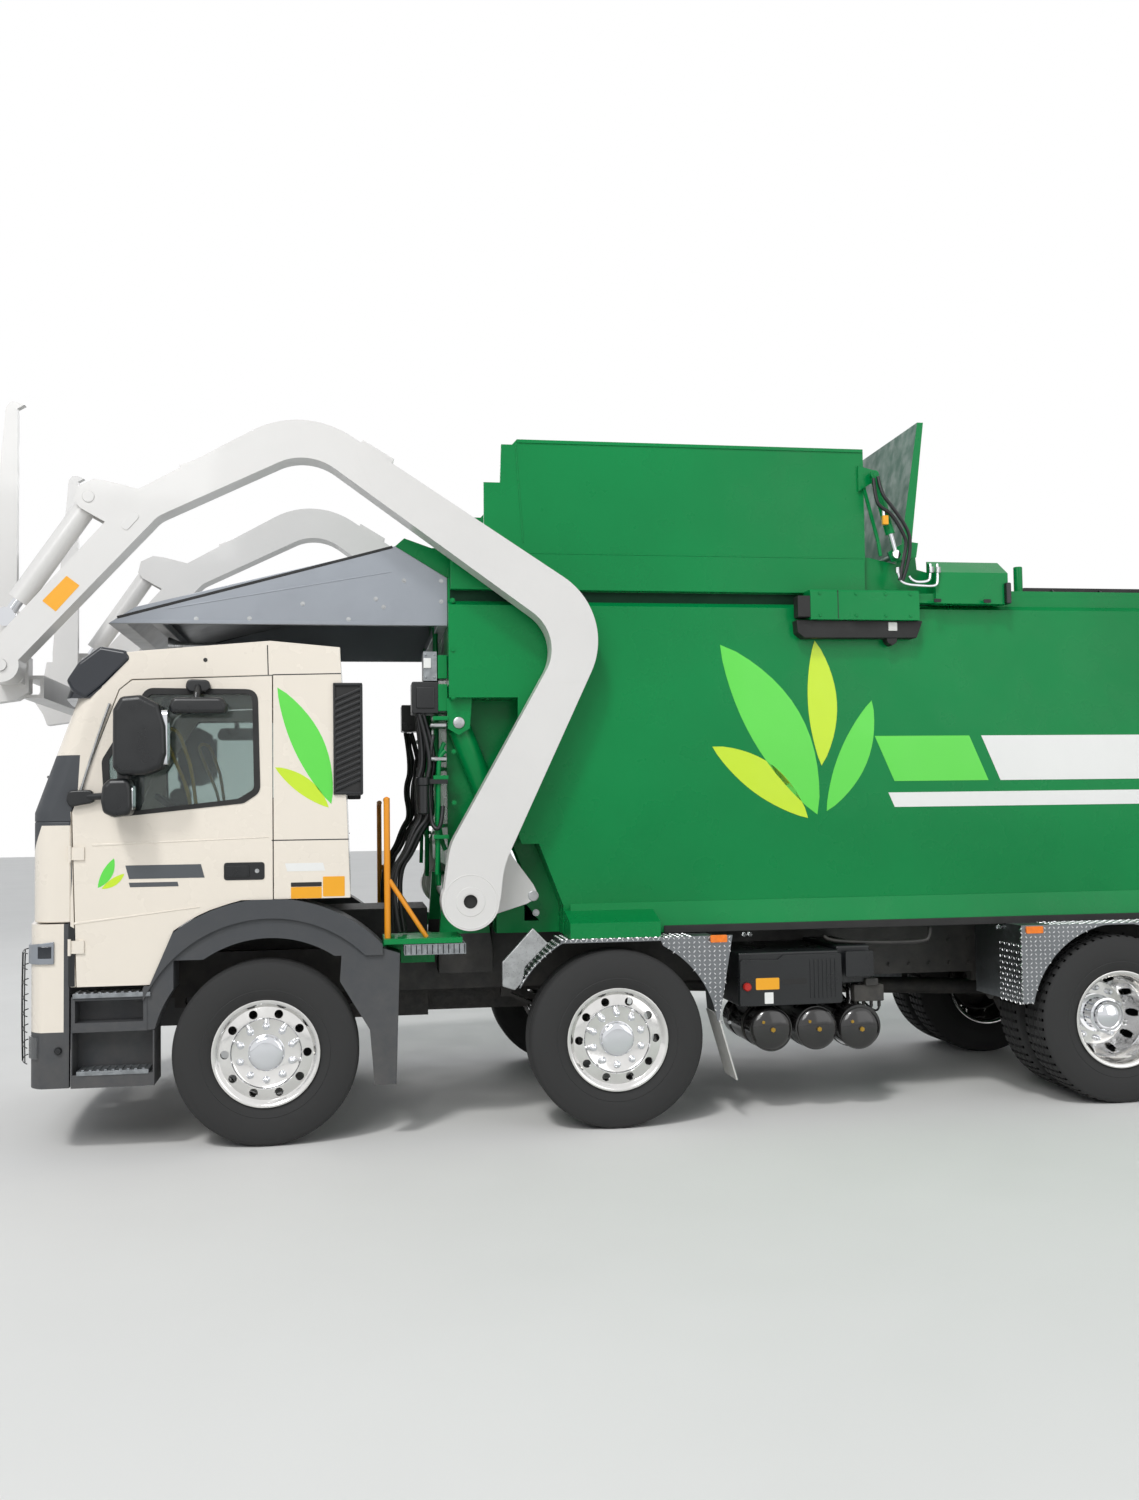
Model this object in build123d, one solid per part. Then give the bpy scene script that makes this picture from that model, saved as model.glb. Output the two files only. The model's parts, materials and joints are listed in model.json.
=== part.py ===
from build123d import *
import math
import os

# Front-loading garbage truck with four axles, in millimetres.
# X runs forward, Y to the left and Z up. Places along X are measured from the front axle.
# The exported parts have their origin on the ground under the middle of the whole truck.

# Overall reach, from the front axle
FRONT_REACH = 1690
REAR_REACH = -8600
ORIGIN_X = (FRONT_REACH + REAR_REACH) / 2

# Running clearance between moving pieces, the gap of a bearing, of a pin's end and of a seat
CLEAR = 6
FIT = 1
PIN_GAP = 0.4
SEAT = 0.3

# Axles and wheels
AXLE_X = {1: 0, 2: -1995, 3: -5150, 4: -6520}
STEER_AXLES = (1, 2)
DRIVE_AXLES = (3, 4)
TYRE_R = 515
TYRE_W = 285
WHEEL_FACE_Y = 1240
TWIN_PITCH = 345
RIM_FLANGE_R = 298
RIM_BED_R = 284
RIM_WALL = 14
BEAD_INSET = 30
HAND_HOLES = 10
HAND_HOLE_R = 24
HAND_HOLE_RING_R = 226
HUB_CAP_R = 104
KINGPIN_Y = 930
KINGPIN_R = 24
SPINDLE_R = 45
HUB_R = 120

# Chassis
RAIL_Y = 425
RAIL_FLANGE = 80
RAIL_T = 9
RAIL_BOTTOM = 740
RAIL_TOP = 1010
RAIL_FRONT = 1050
RAIL_REAR = -8250
SUBFRAME_TOP = 1110
SPRING_Y = 350
SPRING_W = 70
SPRING_HALF = 560
TOW_BORE_R = 16
PINION_RISE = 60
PINION_REACH = 262

# Half widths of the load body: over its sides, and over the narrower edge of its roof
BODY_HALF_W = 1035
BODY_TOP_Y = BODY_HALF_W - 50

# Cab
CAB_HALF_W = 1225
CAB_CUT_Y = CAB_HALF_W + 75
CAB_WALL = 45
CAB_REAR = -470
CAB_FRONT = 1340
CAB_CORNER_FRONT = 1255
CAB_CORNER_Y = CAB_HALF_W - 135
CAB_SIDE_END = 1130
CAB_FLOOR = 1370
CAB_WAIST = 1870
CAB_ROOF = 2825
WINDSCREEN_RAKE = 0.36
WINDSCREEN_CORNER_R = 80
GLASS_T = 8
GLASS_INSET = 14
DOOR_GAP = 6
HINGE_PIN = (1046, CAB_HALF_W + 15)
HINGE_R = 9
SEAT_Y = 560
LAMP_X = (1100, 1500)
LAMP_Y = (CAB_HALF_W - 345, CAB_HALF_W - 95)
LAMP_Z = (640, 860)

# Lift arms
ARM_IN_Y = BODY_HALF_W + 25
ARM_OUT_Y = ARM_IN_Y + 175
ARM_PIVOT = (-1148, 1331)
ARM_BOSS_R = 166
FORK_PIVOT = (1412, 2683)
TORQUE_TUBE_R = 90
CRANK_PIN = (-1509, 1357)
CRANK_IN_Y = ARM_IN_Y - 95
CRANK_T = 40
LIFT_BASE_PIN = (-1110, 2374)
LIFT_CYLINDER_Y = ARM_IN_Y - 175
LIFT_BARREL_R = 70
FORK_BASE_PIN = (953, 3622)
FORK_ROD_PIN = (1403, 2957)
FORK_CYLINDER_Y = ARM_IN_Y + 87
FORK_BARREL_R = 62
FORK_Y = ARM_IN_Y - 180
# The ledge stops just inside the arms, and the deck at the wider of the arms and the cab
LEDGE_Y = ARM_OUT_Y - 13
DECK_Y = max(LEDGE_Y, CAB_HALF_W - 3)

# Body
BODY_FRONT = -1050
BODY_REAR = -8100
BODY_FLOOR = 1110
BODY_WALL = 40
FLOOR_T = 70
ROOF_Z = 3200
LEDGE_BOTTOM = 1100
HOPPER_FRONT = -1470
HOPPER_REAR = -3640
WING_TOP = 4070
WING_T = 30
POCKET_Y = ARM_IN_Y - 260
POCKET_TOP = 2520
LID_PIVOT = (-3930, 3440)
LID_PIN_R = 26
LID_TOP = 4280
LID_CYLINDER_BASE = (-3685, 3895)
LID_CYLINDER_END = (-3815, 3400)
LID_CYLINDER_Y = BODY_HALF_W + 65
LID_CRANK_Y = BODY_HALF_W + 15
LID_CRANK_T = 20
LID_RAM_PIN_R = 14
GATE_PIVOT = (-8120, 3250)
GATE_PIN_R = 30


def prism_y(points, y_low, y_high, radii=0):
    """A plate cut to an (x, z) outline, standing between two Y planes."""
    if radii:
        outline = FilletPolyline(*points, radius=radii, close=True)
    else:
        outline = Polyline(*points, close=True)
    return extrude(Plane.XZ.offset(-y_high) * make_face(outline), y_high - y_low)


def prism_x(points, x_low, x_high, radii=0):
    """A bar with a (y, z) section, running between two X planes."""
    if radii:
        outline = FilletPolyline(*points, radius=radii, close=True)
    else:
        outline = Polyline(*points, close=True)
    return extrude(Plane.YZ.offset(x_low) * make_face(outline), x_high - x_low)


def block(x_low, x_high, y_low, y_high, z_low, z_high):
    """A box between two corners."""
    centre = ((x_low + x_high) / 2, (y_low + y_high) / 2, (z_low + z_high) / 2)
    return Pos(*centre) * Box(x_high - x_low, y_high - y_low, z_high - z_low)


def rod_y(place, radius, y_low, y_high):
    """A round bar along Y at an (x, z) place."""
    bar = Cylinder(radius, y_high - y_low)
    return Pos(place[0], (y_low + y_high) / 2, place[1]) * Rot(90, 0, 0) * bar


def rod_z(x, y, radius, z_low, z_high):
    """A round bar along Z."""
    return Pos(x, y, (z_low + z_high) / 2) * Cylinder(radius, z_high - z_low)


def rod_between(start, end, radius, y):
    """A round bar between two (x, z) places in the plane of one Y."""
    dx, dz = end[0] - start[0], end[1] - start[1]
    length = math.hypot(dx, dz)
    plane = Plane(origin=(start[0], y, start[1]), z_dir=(dx, 0, dz))
    return extrude(plane * Circle(radius), length)


def along(start, end, distance):
    """The (x, z) place at a distance from start towards end."""
    share = distance / math.dist(start, end)
    return (start[0] + (end[0] - start[0]) * share, start[1] + (end[1] - start[1]) * share)


def right(shape):
    """The same piece on the right-hand side."""
    return mirror(shape, Plane.XZ)


def pair(shape):
    """A left-hand piece and its mirror image."""
    return [shape, right(shape)]


def save(name, *solids):
    """Write one sub-part with its origin under the middle of the truck."""
    moved = [Pos(-ORIGIN_X, 0, 0) * solid for solid in solids]
    shape = moved[0] if len(moved) == 1 else Compound(children=moved)
    export_step(shape, f"parts/{name}.step")


# Wheels. A section is a list of (inset, radius): inset is measured inwards from the wheel's face.
def ring(section, x, side):
    """Turn a section about an axle line, on the left (+1) or right (-1)."""
    points = [(radius, -inset) for inset, radius in section]
    turned = revolve(Plane.XZ * make_face(Polyline(*points, close=True)), Axis.Z)
    wheel = Pos(x, WHEEL_FACE_Y, TYRE_R) * Rot(-90, 0, 0) * turned
    return wheel if side > 0 else right(wheel)


def tyre_section(inset=0):
    shoulder = 42
    crown = 30
    return [
        (inset + BEAD_INSET, RIM_BED_R + SEAT),
        (inset + BEAD_INSET, RIM_FLANGE_R + 6),
        (inset + 6, TYRE_R - 150),
        (inset, TYRE_R - 105),
        (inset + 10, TYRE_R - shoulder),
        (inset + crown, TYRE_R - 6),
        (inset + crown + 30, TYRE_R),
        (inset + TYRE_W - crown - 30, TYRE_R),
        (inset + TYRE_W - crown, TYRE_R - 6),
        (inset + TYRE_W - 10, TYRE_R - shoulder),
        (inset + TYRE_W, TYRE_R - 105),
        (inset + TYRE_W - 6, TYRE_R - 150),
        (inset + TYRE_W - BEAD_INSET, RIM_FLANGE_R + 6),
        (inset + TYRE_W - BEAD_INSET, RIM_BED_R + SEAT),
    ]


def rim_barrel(inset=0):
    bed = RIM_BED_R
    lip = BEAD_INSET - SEAT
    return [
        (inset + 14, RIM_FLANGE_R),
        (inset + lip, RIM_FLANGE_R),
        (inset + lip, bed),
        (inset + 90, bed - 6),
        (inset + TYRE_W - 90, bed - 6),
        (inset + TYRE_W - lip, bed),
        (inset + TYRE_W - lip, RIM_FLANGE_R),
        (inset + TYRE_W - 14, RIM_FLANGE_R),
        (inset + TYRE_W - 14, bed - RIM_WALL),
        (inset + TYRE_W - 90, bed - 6 - RIM_WALL),
        (inset + 90, bed - 6 - RIM_WALL),
        (inset + 14, bed - RIM_WALL),
    ]


def hand_holes(x, side, depth_low, depth_high):
    """Round holes that go through a wheel disc."""
    cutters = []
    for step in range(HAND_HOLES):
        turn = 2 * math.pi * step / HAND_HOLES
        place = (x + HAND_HOLE_RING_R * math.cos(turn), TYRE_R + HAND_HOLE_RING_R * math.sin(turn))
        hole = rod_y(place, HAND_HOLE_R, WHEEL_FACE_Y - depth_high, WHEEL_FACE_Y - depth_low)
        cutters.append(hole if side > 0 else right(hole))
    return cutters


def steer_rim(x, side):
    """A single rim with its disc near the outer face, its hub and its brake drum."""
    disc_out, disc_in = 34, 48
    drum_r, drum_wall, drum_in = 205, 12, 195
    disc = [
        (disc_out, 60),
        (disc_out - 8, 165),
        (disc_out, 210),
        (disc_out + 4, RIM_BED_R - RIM_WALL + 2),
        (disc_in + 22, RIM_BED_R - RIM_WALL + 2),
        (disc_in, 205),
        (disc_in, 60),
    ]
    cap = [(6, 0), (6, 60), (16, HUB_CAP_R - 4), (disc_out + 2, HUB_CAP_R), (disc_in, HUB_CAP_R),
           (disc_in, 0)]
    hub = [(disc_in - 2, SPINDLE_R + FIT), (disc_in - 2, HUB_R), (drum_in - 20, HUB_R),
           (drum_in - 20, SPINDLE_R + FIT)]
    drum = [(75, HUB_R - 2), (75, drum_r), (drum_in, drum_r), (drum_in, drum_r - drum_wall),
            (75 + drum_wall, drum_r - drum_wall), (75 + drum_wall, HUB_R - 2)]
    rim = ring(rim_barrel(), x, side) + ring(disc, x, side) + ring(cap, x, side)
    rim = rim + ring(hub, x, side) + ring(drum, x, side)
    return rim - hand_holes(x, side, disc_out - 20, disc_in + 24)


def twin_rims(x, side):
    """Two rims back to back, with the hub that stands out through the deep outer dish."""
    face = 315
    outer_dish = [
        (190, RIM_BED_R - RIM_WALL - 4),
        (204, RIM_BED_R - RIM_WALL - 4),
        (face, 205),
        (face, 100),
        (face - 14, 100),
        (face - 14, 200),
    ]
    inner_dish = [
        (face, 100),
        (face, 205),
        (TWIN_PITCH + TYRE_W - 204, RIM_BED_R - RIM_WALL - 4),
        (TWIN_PITCH + TYRE_W - 190, RIM_BED_R - RIM_WALL - 4),
        (face + 14, 200),
        (face + 14, 100),
    ]
    cap_out = 112
    hub = [
        (cap_out, 0),
        (cap_out + 8, 70),
        (cap_out + 26, 98),
        (cap_out + 60, 108),
        (face - 40, 112),
        (face - 14, 128),
        (face + 40, 128),
        (face + 200, 122),
        (face + 200, SPINDLE_R + 12 + FIT),
        (cap_out + 40, SPINDLE_R + 12 + FIT),
        (cap_out + 40, 0),
    ]
    drum = [(face + 30, 118), (face + 30, 210), (face + 210, 210), (face + 210, 198),
            (face + 44, 198), (face + 44, 118)]
    rims = ring(rim_barrel(), x, side) + ring(rim_barrel(TWIN_PITCH), x, side)
    rims = rims + ring(outer_dish, x, side) + ring(inner_dish, x, side)
    rims = rims + ring(hub, x, side) + ring(drum, x, side)
    return rims - hand_holes(x, side, 180, face + 80)


def knuckle(x):
    """Left steering knuckle: two ears on the kingpin, a web and the wheel spindle."""
    eye_low, eye_high = TYRE_R - 60, TYRE_R + 60
    ear_t, ear_r = 42, 46
    web_y = KINGPIN_Y + 62
    low_ear = rod_z(x, KINGPIN_Y, ear_r, eye_low - FIT - ear_t, eye_low - FIT)
    high_ear = rod_z(x, KINGPIN_Y, ear_r, eye_high + FIT, eye_high + FIT + ear_t)
    low_arm = block(x - ear_r, x + ear_r, KINGPIN_Y, web_y, eye_low - FIT - ear_t, eye_low - FIT)
    high_arm = block(x - ear_r, x + ear_r, KINGPIN_Y, web_y, eye_high + FIT, eye_high + FIT + ear_t)
    web = block(x - 70, x + 70, web_y - 6, web_y + 24, eye_low - 42, eye_high + 42)
    pin = rod_z(x, KINGPIN_Y, KINGPIN_R, eye_low - 40, eye_high + 40)
    spindle = rod_y((x, TYRE_R), SPINDLE_R, web_y, WHEEL_FACE_Y - 54)
    steer_arm = block(x - 190, x - 40, KINGPIN_Y - 12, KINGPIN_Y + 12, eye_low - 40, eye_low - 10)
    return low_ear + high_ear + low_arm + high_arm + web + pin + spindle + steer_arm


# Chassis frame: two channel rails, cross members and the sub-frame of the body
def chassis_frame():
    channel = [
        (RAIL_Y, RAIL_BOTTOM),
        (RAIL_Y, RAIL_TOP),
        (RAIL_Y - RAIL_FLANGE, RAIL_TOP),
        (RAIL_Y - RAIL_FLANGE, RAIL_TOP - RAIL_T),
        (RAIL_Y - RAIL_T, RAIL_TOP - RAIL_T),
        (RAIL_Y - RAIL_T, RAIL_BOTTOM + RAIL_T),
        (RAIL_Y - RAIL_FLANGE, RAIL_BOTTOM + RAIL_T),
        (RAIL_Y - RAIL_FLANGE, RAIL_BOTTOM),
    ]
    frame = Part()
    for rail in pair(prism_x(channel, RAIL_REAR, RAIL_FRONT)):
        frame = frame + rail
    inner = RAIL_Y - RAIL_T
    for x in (-2600, -3500, -4350, -5835, -7200, -8180):
        frame = frame + block(x - 60, x + 60, -inner, inner, 860, RAIL_TOP - RAIL_T)
    frame = frame + block(RAIL_FRONT - 80, RAIL_FRONT, -inner, inner, RAIL_BOTTOM, RAIL_TOP)
    beam = block(RAIL_REAR + 40, -1350, RAIL_Y - RAIL_FLANGE, RAIL_Y, RAIL_TOP, SUBFRAME_TOP)
    for runner in pair(beam):
        frame = frame + runner
    socket = Pos(RAIL_FRONT + 60, 300, 620) * Rot(0, 90, 0) * Cylinder(38, 240)
    hanger = block(RAIL_FRONT - 60, RAIL_FRONT, 262, 338, 600, RAIL_BOTTOM + 4)
    bore = Pos(RAIL_FRONT + 60, 300, 620) * Rot(0, 90, 0) * Cylinder(TOW_BORE_R, 260)
    underrun = block(-8330, -8230, -1150, 1150, 440, 560)
    frame = frame + socket + hanger + underrun
    for leg in pair(block(-8330, -8240, 300, 380, 500, 800)):
        frame = frame + leg
    return frame - bore


def powertrain():
    """Engine as one plain block, with the gearbox and the shafts to the drive axles."""
    engine = block(-950, 450, -300, 300, 565, 1240)
    for x in (-800, 250):
        engine = engine + block(x - 50, x + 50, -RAIL_Y + RAIL_T, RAIL_Y - RAIL_T, 800, 880)
    gearbox = block(-1600, -950, -190, 190, 580, 950)
    nose_z = TYRE_R + PINION_RISE
    shaft = rod_between((-1590, 720), (AXLE_X[3] + PINION_REACH - 60, nose_z), 55, 0)
    shaft = shaft - block(AXLE_X[3], AXLE_X[3] + PINION_REACH, -100, 100, 400, 800)
    link = rod_between((AXLE_X[3] - PINION_REACH, nose_z), (AXLE_X[4] + PINION_REACH, nose_z), 50, 0)
    return engine + gearbox + shaft, link


def spring(x, half_length, seat_z):
    """A leaf spring pack: an arched strip of leaves between two hangers under the rail."""
    eye_z = RAIL_BOTTOM - 50
    leaf_t = 22
    pack = block(x - 75, x + 75, SPRING_Y, SPRING_Y + SPRING_W, seat_z, seat_z + 3 * leaf_t + 20)
    for level, share in enumerate((0.45, 0.72, 1.0)):
        end = half_length * share
        low = seat_z + leaf_t * level
        end_low = low + (eye_z - seat_z - 2 * leaf_t) * share ** 2
        strip = [
            (x - end, end_low + leaf_t),
            (x - end, end_low),
            (x - end / 2, low + (end_low - low) / 4),
            (x, low),
            (x + end / 2, low + (end_low - low) / 4),
            (x + end, end_low),
            (x + end, end_low + leaf_t),
            (x + end / 2, low + (end_low - low) / 4 + leaf_t),
            (x, low + leaf_t),
            (x - end / 2, low + (end_low - low) / 4 + leaf_t),
        ]
        pack = pack + prism_y(strip, SPRING_Y, SPRING_Y + SPRING_W)
    for end in (-half_length, half_length):
        pack = pack + block(x + end - 32, x + end + 32, SPRING_Y, SPRING_Y + SPRING_W,
                            eye_z - 12, RAIL_BOTTOM)
    return pack


def axles():
    """Steered beams, drive axle housings and all leaf springs."""
    solids = []
    for number in STEER_AXLES:
        x = AXLE_X[number]
        beam_low, beam_high = TYRE_R - 130, TYRE_R - 40
        beam = block(x - 50, x + 50, -KINGPIN_Y + 70, KINGPIN_Y - 70, beam_low, beam_high)
        beam = beam - block(x - 60, x - 20, -600, 600, beam_low + 22, beam_high - 22)
        beam = beam - block(x + 20, x + 60, -600, 600, beam_low + 22, beam_high - 22)
        for side in (-1, 1):
            eye = rod_z(x, side * KINGPIN_Y, 52, TYRE_R - 60, TYRE_R + 60)
            neck = block(x - 50, x + 50, min(side * 860, side * 925), max(side * 860, side * 925),
                         TYRE_R - 60, beam_high)
            bore = rod_z(x, side * KINGPIN_Y, KINGPIN_R + FIT, TYRE_R - 80, TYRE_R + 80)
            beam = beam + eye + neck - bore
        for pack in pair(spring(x, SPRING_HALF, beam_high)):
            beam = beam + pack
        solids.append(beam)
    for number in DRIVE_AXLES:
        x = AXLE_X[number]
        tube = rod_y((x, TYRE_R), 72, -715, 715)
        spindles = rod_y((x, TYRE_R), SPINDLE_R + 12, -(WHEEL_FACE_Y - 160), WHEEL_FACE_Y - 160)
        bulge = Pos(x, 0, TYRE_R) * Sphere(215)
        nose_z = TYRE_R + PINION_RISE
        rear_reach = PINION_REACH if number == DRIVE_AXLES[0] else 200
        nose = rod_between((x - rear_reach, nose_z), (x + PINION_REACH, nose_z), 88, 0)
        housing = tube + spindles + bulge + nose
        seat_z = TYRE_R + 85
        for seat in pair(block(x - 60, x + 60, SPRING_Y, SPRING_Y + SPRING_W, TYRE_R, seat_z)):
            housing = housing + seat
        for pack in pair(spring(x, SPRING_HALF, seat_z)):
            housing = housing + pack
        solids.append(housing)
    return solids


# Cab. The same block, made smaller by an inset, gives the outside, the inside and the glass.
def cab_block(inset):
    half = CAB_HALF_W - inset
    rear = CAB_REAR - 700
    corner = (CAB_CORNER_FRONT - inset, CAB_CORNER_Y)
    nose = (CAB_FRONT - inset, 0)
    side_end = (CAB_SIDE_END, half)
    plan = Line((rear, -half), (side_end[0], -half))
    plan += TangentArc((side_end[0], -half), (corner[0], -corner[1]), tangent=(1, 0))
    plan += ThreePointArc((corner[0], -corner[1]), nose, corner)
    plan += TangentArc(side_end, corner, tangent=(1, 0))
    plan += Line(side_end, (rear, half))
    plan += Line((rear, half), (rear, -half))
    lower_z, upper_z = 300, CAB_ROOF + 100
    lower = extrude(Plane.XY.offset(lower_z) * make_face(plan), CAB_WAIST - lower_z)
    rise = upper_z - CAB_WAIST
    slant = rise * math.hypot(1, WINDSCREEN_RAKE)
    upper = extrude(Plane.XY.offset(CAB_WAIST) * make_face(plan), slant, dir=(-WINDSCREEN_RAKE, 0, 1))
    return lower + upper


def cab_side(inset):
    """Side view of the cab as (x, z), with the step well at the front."""
    return [
        (CAB_REAR + inset, CAB_FLOOR + inset),
        (CAB_REAR + 50 + inset, CAB_ROOF - 35 - inset),
        (-30, CAB_ROOF - inset),
        (680, CAB_ROOF - 60 - inset),
        (1100, CAB_ROOF - 115 - inset),
        (1600, CAB_ROOF - 115 - inset),
        (1600, 1270 + inset),
        (1045 - inset, 1270 + inset),
        (1045 - inset, 917 + inset),
        (625 + inset, 917 + inset),
        (430 + inset * 0.6, CAB_FLOOR + inset),
    ]


DOOR_OUTLINE = [
    (-40, CAB_FLOOR),
    (-40, 2626),
    (720, 2600),
    (785, 2546),
    (1036, 1874),
    (1010, 917),
    (625, 917),
    (430, CAB_FLOOR),
]
DOOR_WINDOW = [(61, 2531), (52, 1984), (140, 1929), (841, 1855), (852, 2159), (628, 2531)]
WINDSCREEN_OUTLINE = [(-1085, 1885), (1085, 1885), (1020, 2560), (-1020, 2560)]


def cab_walls():
    outer = cab_block(0) & prism_y(cab_side(0), -CAB_CUT_Y, CAB_CUT_Y)
    inner = cab_block(CAB_WALL) & prism_y(cab_side(CAB_WALL), -CAB_CUT_Y, CAB_CUT_Y)
    well = block(560, 1060, -700, 700, 800, 1290)
    lining = block(560 - CAB_WALL, 1060, -700 - CAB_WALL, 700 + CAB_WALL, 800, 1290 + CAB_WALL)
    return outer - well - (inner - lining)


def glass_layer(inset):
    return cab_block(inset) - cab_block(inset + GLASS_T)


def cab_parts():
    walls = cab_walls()
    front = block(1045, 1400, -CAB_CUT_Y, CAB_CUT_Y, 1270, 1822)
    panel = walls & front
    door_cut = make_face(Polyline(*DOOR_OUTLINE, close=True))
    door_cut = offset(door_cut, DOOR_GAP, kind=Kind.INTERSECTION)
    door_cut = extrude(Plane.XZ.offset(-CAB_CUT_Y) * door_cut,
                       CAB_CUT_Y - CAB_HALF_W + CAB_WALL + DOOR_GAP)
    door_body = prism_y(DOOR_OUTLINE, CAB_HALF_W - CAB_WALL, CAB_CUT_Y)
    screen = prism_x(WINDSCREEN_OUTLINE, 600, 1500, WINDSCREEN_CORNER_R)
    window = prism_y(DOOR_WINDOW, CAB_HALF_W - 225, CAB_CUT_Y, 40)
    skin = outer_skin()
    door = (skin & door_body) - window
    for low in (1090, 1600):
        door = door + door_hinge(low)
    shell = walls - front - screen - door_cut - right(door_cut)
    windscreen = glass_layer(GLASS_INSET) & screen
    pane = glass_layer(GLASS_INSET) & prism_y(DOOR_WINDOW, CAB_HALF_W - 75, CAB_CUT_Y, 40)
    return shell, panel, door, windscreen, pane


def door_hinge(low):
    """Hinge barrel on its axis just outside the skin, with the leaf that carries the door."""
    x, y = HINGE_PIN
    pad = block(x - 75, x - 45, CAB_HALF_W - 4, y - 3, low + 10, low + 80)
    leaf = block(x - 75, x, y - HINGE_R, y - 3, low + 10, low + 80)
    return pad + leaf + rod_z(x, y, HINGE_R, low, low + 90)


def outer_skin():
    """The full side wall of the cab, with no step well cut out of it."""
    outer = cab_block(0) & prism_y(cab_side(0), -CAB_CUT_Y, CAB_CUT_Y)
    return outer - cab_block(CAB_WALL)


def mirror_set():
    """Left mirror: arm from the front edge of the door, main and wide-angle housings."""
    inner, outer = CAB_HALF_W + 105, CAB_HALF_W + 255
    main = [(570, 2120), (560, 2480), (620, 2500), (790, 2490), (800, 2120)]
    main = prism_y(main, inner, outer, 30)
    wide = prism_y([(600, 1860), (590, 2090), (830, 2090), (820, 1860)], inner, outer, 40)
    low_arm = block(690, 985, CAB_HALF_W, CAB_HALF_W + 35, 1940, 1975)
    reach = block(690, 740, CAB_HALF_W, inner + 10, 1940, 1975)
    top_arm = block(690, 740, CAB_HALF_W, inner + 10, 2440, 2470)
    neck = block(680, 740, inner + 10, inner + 70, 2080, 2130)
    # Kerb mirror over the door window, looking down
    foot = block(290, 430, CAB_HALF_W, CAB_HALF_W + 40, 2550, 2590)
    stem = block(330, 390, CAB_HALF_W + 20, CAB_HALF_W + 100, 2500, 2570)
    kerb = [(190, 2390), (200, 2520), (480, 2520), (500, 2390)]
    kerb = prism_y(kerb, CAB_HALF_W + 60, CAB_HALF_W + 200, 40)
    return main + wide + low_arm + reach + top_arm + neck + foot + stem + kerb


def sun_visor():
    band = prism_y([(700, 2800), (800, 2500), (1500, 2500), (1500, 2800)], -CAB_HALF_W, CAB_HALF_W)
    raised = cab_block(-60) - cab_block(0)
    return raised & band & block(700, 1500, -CAB_HALF_W, CAB_HALF_W, 2500, 2730)


def front_bumper():
    band = block(1050, 1500, -CAB_CUT_Y, CAB_CUT_Y, 372, 1262)
    shell = (cab_block(-15) - cab_block(45)) & band & block(0, 1500, -CAB_HALF_W, CAB_HALF_W, 0, 2000)
    slot = block(1000, 1500, -620, 620, 900, 1160)
    socket_hole = block(1000, 1500, 205, 395, 520, 720)
    lamp_hole = block(*LAMP_X, *LAMP_Y, *LAMP_Z)
    brace = block(RAIL_FRONT, 1310, 340, 400, 780, 860)
    bumper = shell - slot - socket_hole - lamp_hole - right(lamp_hole)
    for arm in pair(brace):
        bumper = bumper + arm
    return bumper


def head_lamps():
    lamp = (cab_block(-12) - cab_block(30)) & block(*LAMP_X, *LAMP_Y, *LAMP_Z)
    return pair(lamp)


def cab_arches():
    """Wheel arch, entry steps and rear flap on each side of the cab."""
    centre = (-20, TYRE_R)
    face_y = CAB_HALF_W + 12
    arch_y = face_y - 277
    lip_r = TYRE_R + 235
    ring_outer = rod_y(centre, TYRE_R + 345, arch_y, face_y)
    ring_inner = rod_y(centre, TYRE_R + 125, arch_y - 60, CAB_CUT_Y)
    band = [(-648, 1045), (-648, 1400), (430, 1400), (660, 900), (660, 672), (500, 672), (500, 1045)]
    band = prism_y(band, arch_y - 60, CAB_CUT_Y)
    arch = (ring_outer - ring_inner) & band
    arch = arch - rod_y(centre, lip_r, face_y - 20, CAB_CUT_Y)
    arch = arch - block(-700, 700, 0, CAB_CUT_Y, CAB_FLOOR, 1600)
    well_clear = [(430, CAB_FLOOR), (625, 911), (1050, 911), (1050, 1500), (430, 1500)]
    well_clear = prism_y(well_clear, 0, CAB_CUT_Y)
    arch = arch - well_clear
    step_box = block(600, 1040, arch_y + 5, CAB_HALF_W + 4, 369, 669)
    tread = block(608, 1032, arch_y + 100, CAB_HALF_W + 20, 440, 700)
    upper = block(640, 1040, arch_y + 40, CAB_HALF_W - 4, 669, 860)
    upper = upper - block(660, 1020, arch_y + 120, CAB_CUT_Y, 720, 840)
    # Guard behind the wheel: an outer plate and the wall that closes it to the rear
    guard = [(-408, 900), (-573, 625), (-598, 314), (-721, 314), (-744, 1048), (-648, 1080), (-420, 1080)]
    guard = prism_y(guard, face_y - 42, face_y - 20)
    guard_wall = [(-691, 314), (-721, 314), (-744, 1048), (-690, 1066), (-640, 1066), (-640, 1046),
                  (-714, 1040)]
    guard_wall = prism_y(guard_wall, arch_y, face_y - 20)
    return arch + (step_box - tread) + upper + guard + guard_wall


def cab_seats():
    seats = []
    for y in (-SEAT_Y, SEAT_Y):
        base = block(-150, 300, y - 240, y + 240, CAB_FLOOR + CAB_WALL, 1640)
        cushion = block(-200, 340, y - 260, y + 260, 1640, 1760)
        back = prism_y([(-200, 1760), (-330, 2420), (-230, 2440), (-60, 1760)], y - 250, y + 250)
        seats.append(base + cushion + back)
    return seats


def dashboard():
    half = CAB_HALF_W - 75
    board = block(850, CAB_FRONT, -half, half, 1420, 1780)
    board = board & cab_block(CAB_WALL + SEAT)
    turn = Rot(0, -35, 0)
    column = Pos(760, -SEAT_Y, 1700) * turn * Cylinder(35, 380)
    centre = Pos(650, -SEAT_Y, 1860) * turn
    return board + column + centre * Torus(215, 18) + centre * Box(40, 420, 20) + centre * Cylinder(70, 40)


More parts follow.
